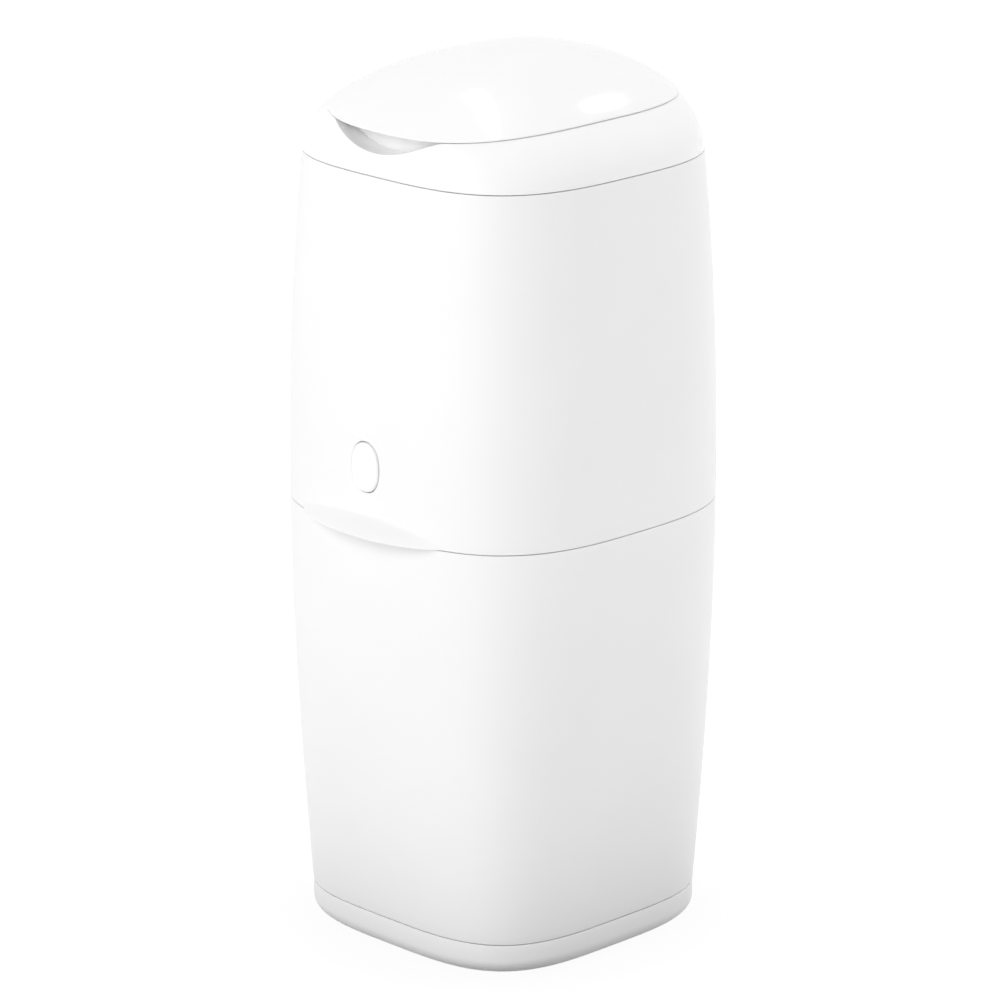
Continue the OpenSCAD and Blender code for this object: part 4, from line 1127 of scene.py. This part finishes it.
def release_button(guide_y):
    """The oval cap, with a pillowed face, and the flange and the stem that carry it."""
    face = half_at(BUTTON_Z) + BUTTON_PROUD + BUTTON_PILLOW
    wall_face = half_at(BUTTON_Z + GUIDE_UP + GUIDE_T) - WALL - FACE_GAP
    turns = np.linspace(0, 2 * np.pi, 96, endpoint=False)

    def oval_ring(grow, depth, share=1.0):
        p = share * oval_at(turns, grow)
        return np.column_stack([p[:, 0], np.full(len(p), -depth), BUTTON_Z + p[:, 1]])

    def stem_ring(depth, share=1.0):
        r = share * STEM_R
        y = np.full(len(turns), -depth)
        return np.column_stack([r * np.cos(turns), y, BUTTON_Z + r * np.sin(turns)])

    stem_end = guide_y - GUIDE_T - STEM_OUT
    stations = [
        (stem_ring(stem_end, 0.4), 0),
        (stem_ring(stem_end), 0.5),
        (stem_ring(wall_face - FLANGE_T), 0.3),
        (oval_ring(FLANGE_W, wall_face - FLANGE_T), 0.4),
        (oval_ring(FLANGE_W, wall_face), 0.4),
        (oval_ring(0, wall_face), 0.3),
    ]
    for a in np.linspace(0, math.pi / 2, 12):
        grow = -BUTTON_EDGE * (1 - math.cos(a))
        stations.append((oval_ring(grow, face - BUTTON_EDGE * (1 - math.sin(a))), 0))
    for s in (0.9, 0.75, 0.6, 0.45, 0.3, 0.15):
        stations.append((oval_ring(-BUTTON_EDGE, face + BUTTON_CROWN * (1 - s * s), s), 0))
    skin("button_cap", stations, "button", "gloss_white_plastic", stands_for=["release_button"])


# -------------------- studio

# The camera in metres and angles: distance from the bin's axis, height above the floor, turn round
# the bin from the front, tilt and pan. The lens is 5.597 times as long as the sensor is wide.
CAMERA_AWAY = 3.1916
CAMERA_UP = 1.2491
CAMERA_TURN = math.radians(45.378)
CAMERA_TILT = math.radians(17.192)
CAMERA_PAN = math.radians(0.034)
SENSOR = 36.0
CAMERA_LENS = 5.597 * SENSOR

# The light from the sky at the horizon and overhead, and the floor with painted shade in its
# middle.
# FLOOR_SHOWN is the share of its own glow that the floor shows where it is seen.
HORIZON_LIGHT = 1.38
ZENITH_LIGHT = 0.0
FLOOR_GREY = (0.8, 0.8, 0.8)
# Painted shade under the bin: a dark grey in the floor's colour, fading out between these radii in
# metres. It dims the light the floor throws onto the bin's lower walls and shows as a faint grey
# ring round its foot.
PAINTED_SHADE_GREY = (0.12, 0.12, 0.12)
PAINTED_SHADE_R = 0.12
PAINTED_SHADE_END = 0.26
FLOOR_HALF = 12.0
FLOOR_GLOW = 1.2
FLOOR_SHOWN = 0.8


def camera():
    data = bpy.data.cameras.new("camera")
    data.sensor_width = SENSOR
    data.lens = CAMERA_LENS
    data.clip_end = 30.0
    eye = bpy.data.objects.new("camera", data)
    bpy.context.scene.collection.objects.link(eye)
    x, y = CAMERA_AWAY * math.sin(CAMERA_TURN), -CAMERA_AWAY * math.cos(CAMERA_TURN)
    eye.location = (x, y, CAMERA_UP)
    eye.rotation_euler = (math.pi / 2 - CAMERA_TILT, 0, CAMERA_TURN + CAMERA_PAN)
    bpy.context.scene.camera = eye


def area_light(name, turn, height, away, size, power, mirrored=False):
    """A soft light aimed at the bin's seam, mirrored in gloss or not.

    It stands at turn degrees round the bin from the front. Lengths are in metres, power in watts.
    """
    data = bpy.data.lights.new(name, "AREA")
    data.shape = "RECTANGLE"
    data.size, data.size_y = size
    data.energy = power
    light = bpy.data.objects.new(name, data)
    bpy.context.scene.collection.objects.link(light)
    a = math.radians(turn)
    light.location = (away * math.sin(a), -away * math.cos(a), height)
    light.visible_glossy = mirrored
    aim = Vector((0, 0, SEAM_Z * MM)) - light.location
    light.rotation_euler = aim.to_track_quat("-Z", "Y").to_euler()


def seen(tree):
    """1 where the camera, a reflection or clear material looks, and 0 for light on surfaces."""
    path = tree.nodes.new("ShaderNodeLightPath")
    total = path.outputs["Is Camera Ray"]
    for kind in ("Is Glossy Ray", "Is Transmission Ray"):
        add = tree.nodes.new("ShaderNodeMath")
        add.operation = "MAXIMUM"
        tree.links.new(total, add.inputs[0])
        tree.links.new(path.outputs[kind], add.inputs[1])
        total = add.outputs["Value"]
    return total


def sky():
    """White walls, bright near the floor and dim overhead, and plain white where they are seen."""
    world = bpy.data.worlds.new("studio")
    world.use_nodes = True
    bpy.context.scene.world = world
    tree = world.node_tree
    coords = tree.nodes.new("ShaderNodeTexCoord")
    split = tree.nodes.new("ShaderNodeSeparateXYZ")
    tree.links.new(coords.outputs["Generated"], split.inputs[0])
    fill = vary(tree, split.outputs["Z"], HORIZON_LIGHT, ZENITH_LIGHT, 0, 1)
    shown = seen(tree)
    strength = tree.nodes.new("ShaderNodeMix")
    strength.data_type = "FLOAT"
    strength.inputs["B"].default_value = 1.0
    tree.links.new(shown, strength.inputs["Factor"])
    tree.links.new(fill, strength.inputs["A"])
    back = tree.nodes["Background"]
    back.inputs["Color"].default_value = (1, 1, 1, 1)
    tree.links.new(strength.outputs["Result"], back.inputs["Strength"])


def studio():
    area_light("key", 0, 2.0, 2.1, (1.2, 1.2), 21)
    area_light("front", 0, 0.55, 2.4, (1.4, 1.0), 6.5)
    area_light("side", 142, 1.5, 2.3, (1.2, 1.6), 15)
    area_light("crown", 205, 2.6, 0.6, (2.0, 2.0), 12)
    area_light("strip", 238, 2.64, 1.13, (0.16, 1.6), 2.5, mirrored=True)
    area_light("glint", 186, 2.25, 1.67, (0.25, 0.25), 1.5, mirrored=True)
    sky()
    floor()
    bpy.context.scene.view_settings.view_transform = "Standard"


def floor():
    """A floor that looks white and keeps a faint shadow, with a dark patch of painted shade in its
    colour under the bin.
    """
    h = FLOOR_HALF
    data = bpy.data.meshes.new("floor")
    data.from_pydata([(-h, -h, 0), (h, -h, 0), (h, h, 0), (-h, h, 0)], [], [(0, 1, 2, 3)])
    plane = bpy.data.objects.new("floor", data)
    bpy.context.scene.collection.objects.link(plane)
    paper, tree, shader = new_material("floor_paper")
    coords = tree.nodes.new("ShaderNodeTexCoord")
    away = tree.nodes.new("ShaderNodeVectorMath")
    away.operation = "LENGTH"
    tree.links.new(coords.outputs["Object"], away.inputs[0])
    # Painted shade: the floor's colour darkens to a dark grey near the bin, dimming the light it
    # throws onto the bin's lower walls and showing faintly round its foot.
    painted_shade = tint(tree, away.outputs["Value"], PAINTED_SHADE_GREY, FLOOR_GREY, PAINTED_SHADE_R, PAINTED_SHADE_END)
    tree.links.new(painted_shade, shader.inputs["Base Color"])
    shader.inputs["Roughness"].default_value = 0.9
    glow = tree.nodes.new("ShaderNodeEmission")
    glow.inputs["Color"].default_value = (1, 1, 1, 1)
    glow.inputs["Strength"].default_value = FLOOR_GLOW
    mix = tree.nodes.new("ShaderNodeMixShader")
    tree.links.new(vary(tree, seen(tree), 0.0, FLOOR_SHOWN, 0, 1), mix.inputs["Fac"])
    tree.links.new(shader.outputs["BSDF"], mix.inputs[1])
    tree.links.new(glow.outputs["Emission"], mix.inputs[2])
    tree.links.new(mix.outputs["Shader"], tree.nodes["Material Output"].inputs["Surface"])
    data.materials.append(paper)


# -------------------- assembly

# The CAD nodes that stay visible, and the rounding of their edges
BEVELS = {
    "clamp_frame": 0.6, "fixed_jaw": 0.5, "sliding_jaw": 0.5, "latch_guide": 0.4,
    "latch_hook": 0.4, "cutter_body": 0.8, "latch_keeper": 0.3, "cutter_blade": 0.1,
    "cassette_body": 0.5, "cassette_cap": 0.5, "rubber_feet": 0.4, "main_hinge_pin": 0.4,
    "lid_hinge_pin": 0.3, "guide_rods": 0.4, "deck_screws": 0.15, "clamp_screws": 0.15,
    "foot_screws": 0.15, "lid_screws": 0.15, "keeper_screws": 0.15,
}
CAD_SHARP = 35.0


def dress_cad_nodes():
    """Gives every CAD node its slot's material, and softens the edges of those that stay.

    Their imported normals go, because the weld before the bevel would leave them on wrong corners.
    """
    slots = {row["node"]: row["material_slot"] for row in frame["record"]["subparts"]}
    for name, node in nodes.items():
        node.data.materials.clear()
        node.data.materials.append(MATERIALS[slots[name]])
        if name in BEVELS:
            node.data.attributes.remove(node.data.attributes["custom_normal"])
        node.data.shade_smooth()
        node.data.set_sharp_from_angle(angle=math.radians(CAD_SHARP))
        if name in BEVELS:
            add_bevel(node, BEVELS[name])


dress_cad_nodes()
foot_ring()
lower_bucket()
main_hinge()
rim_seal()
upper_housing()
collar()
lid()
lid_liner()
lid_seal()
cassette_deck()
film_pack()
jaw_pads()
guide_y = springs()
release_button(guide_y)
camera()
studio()
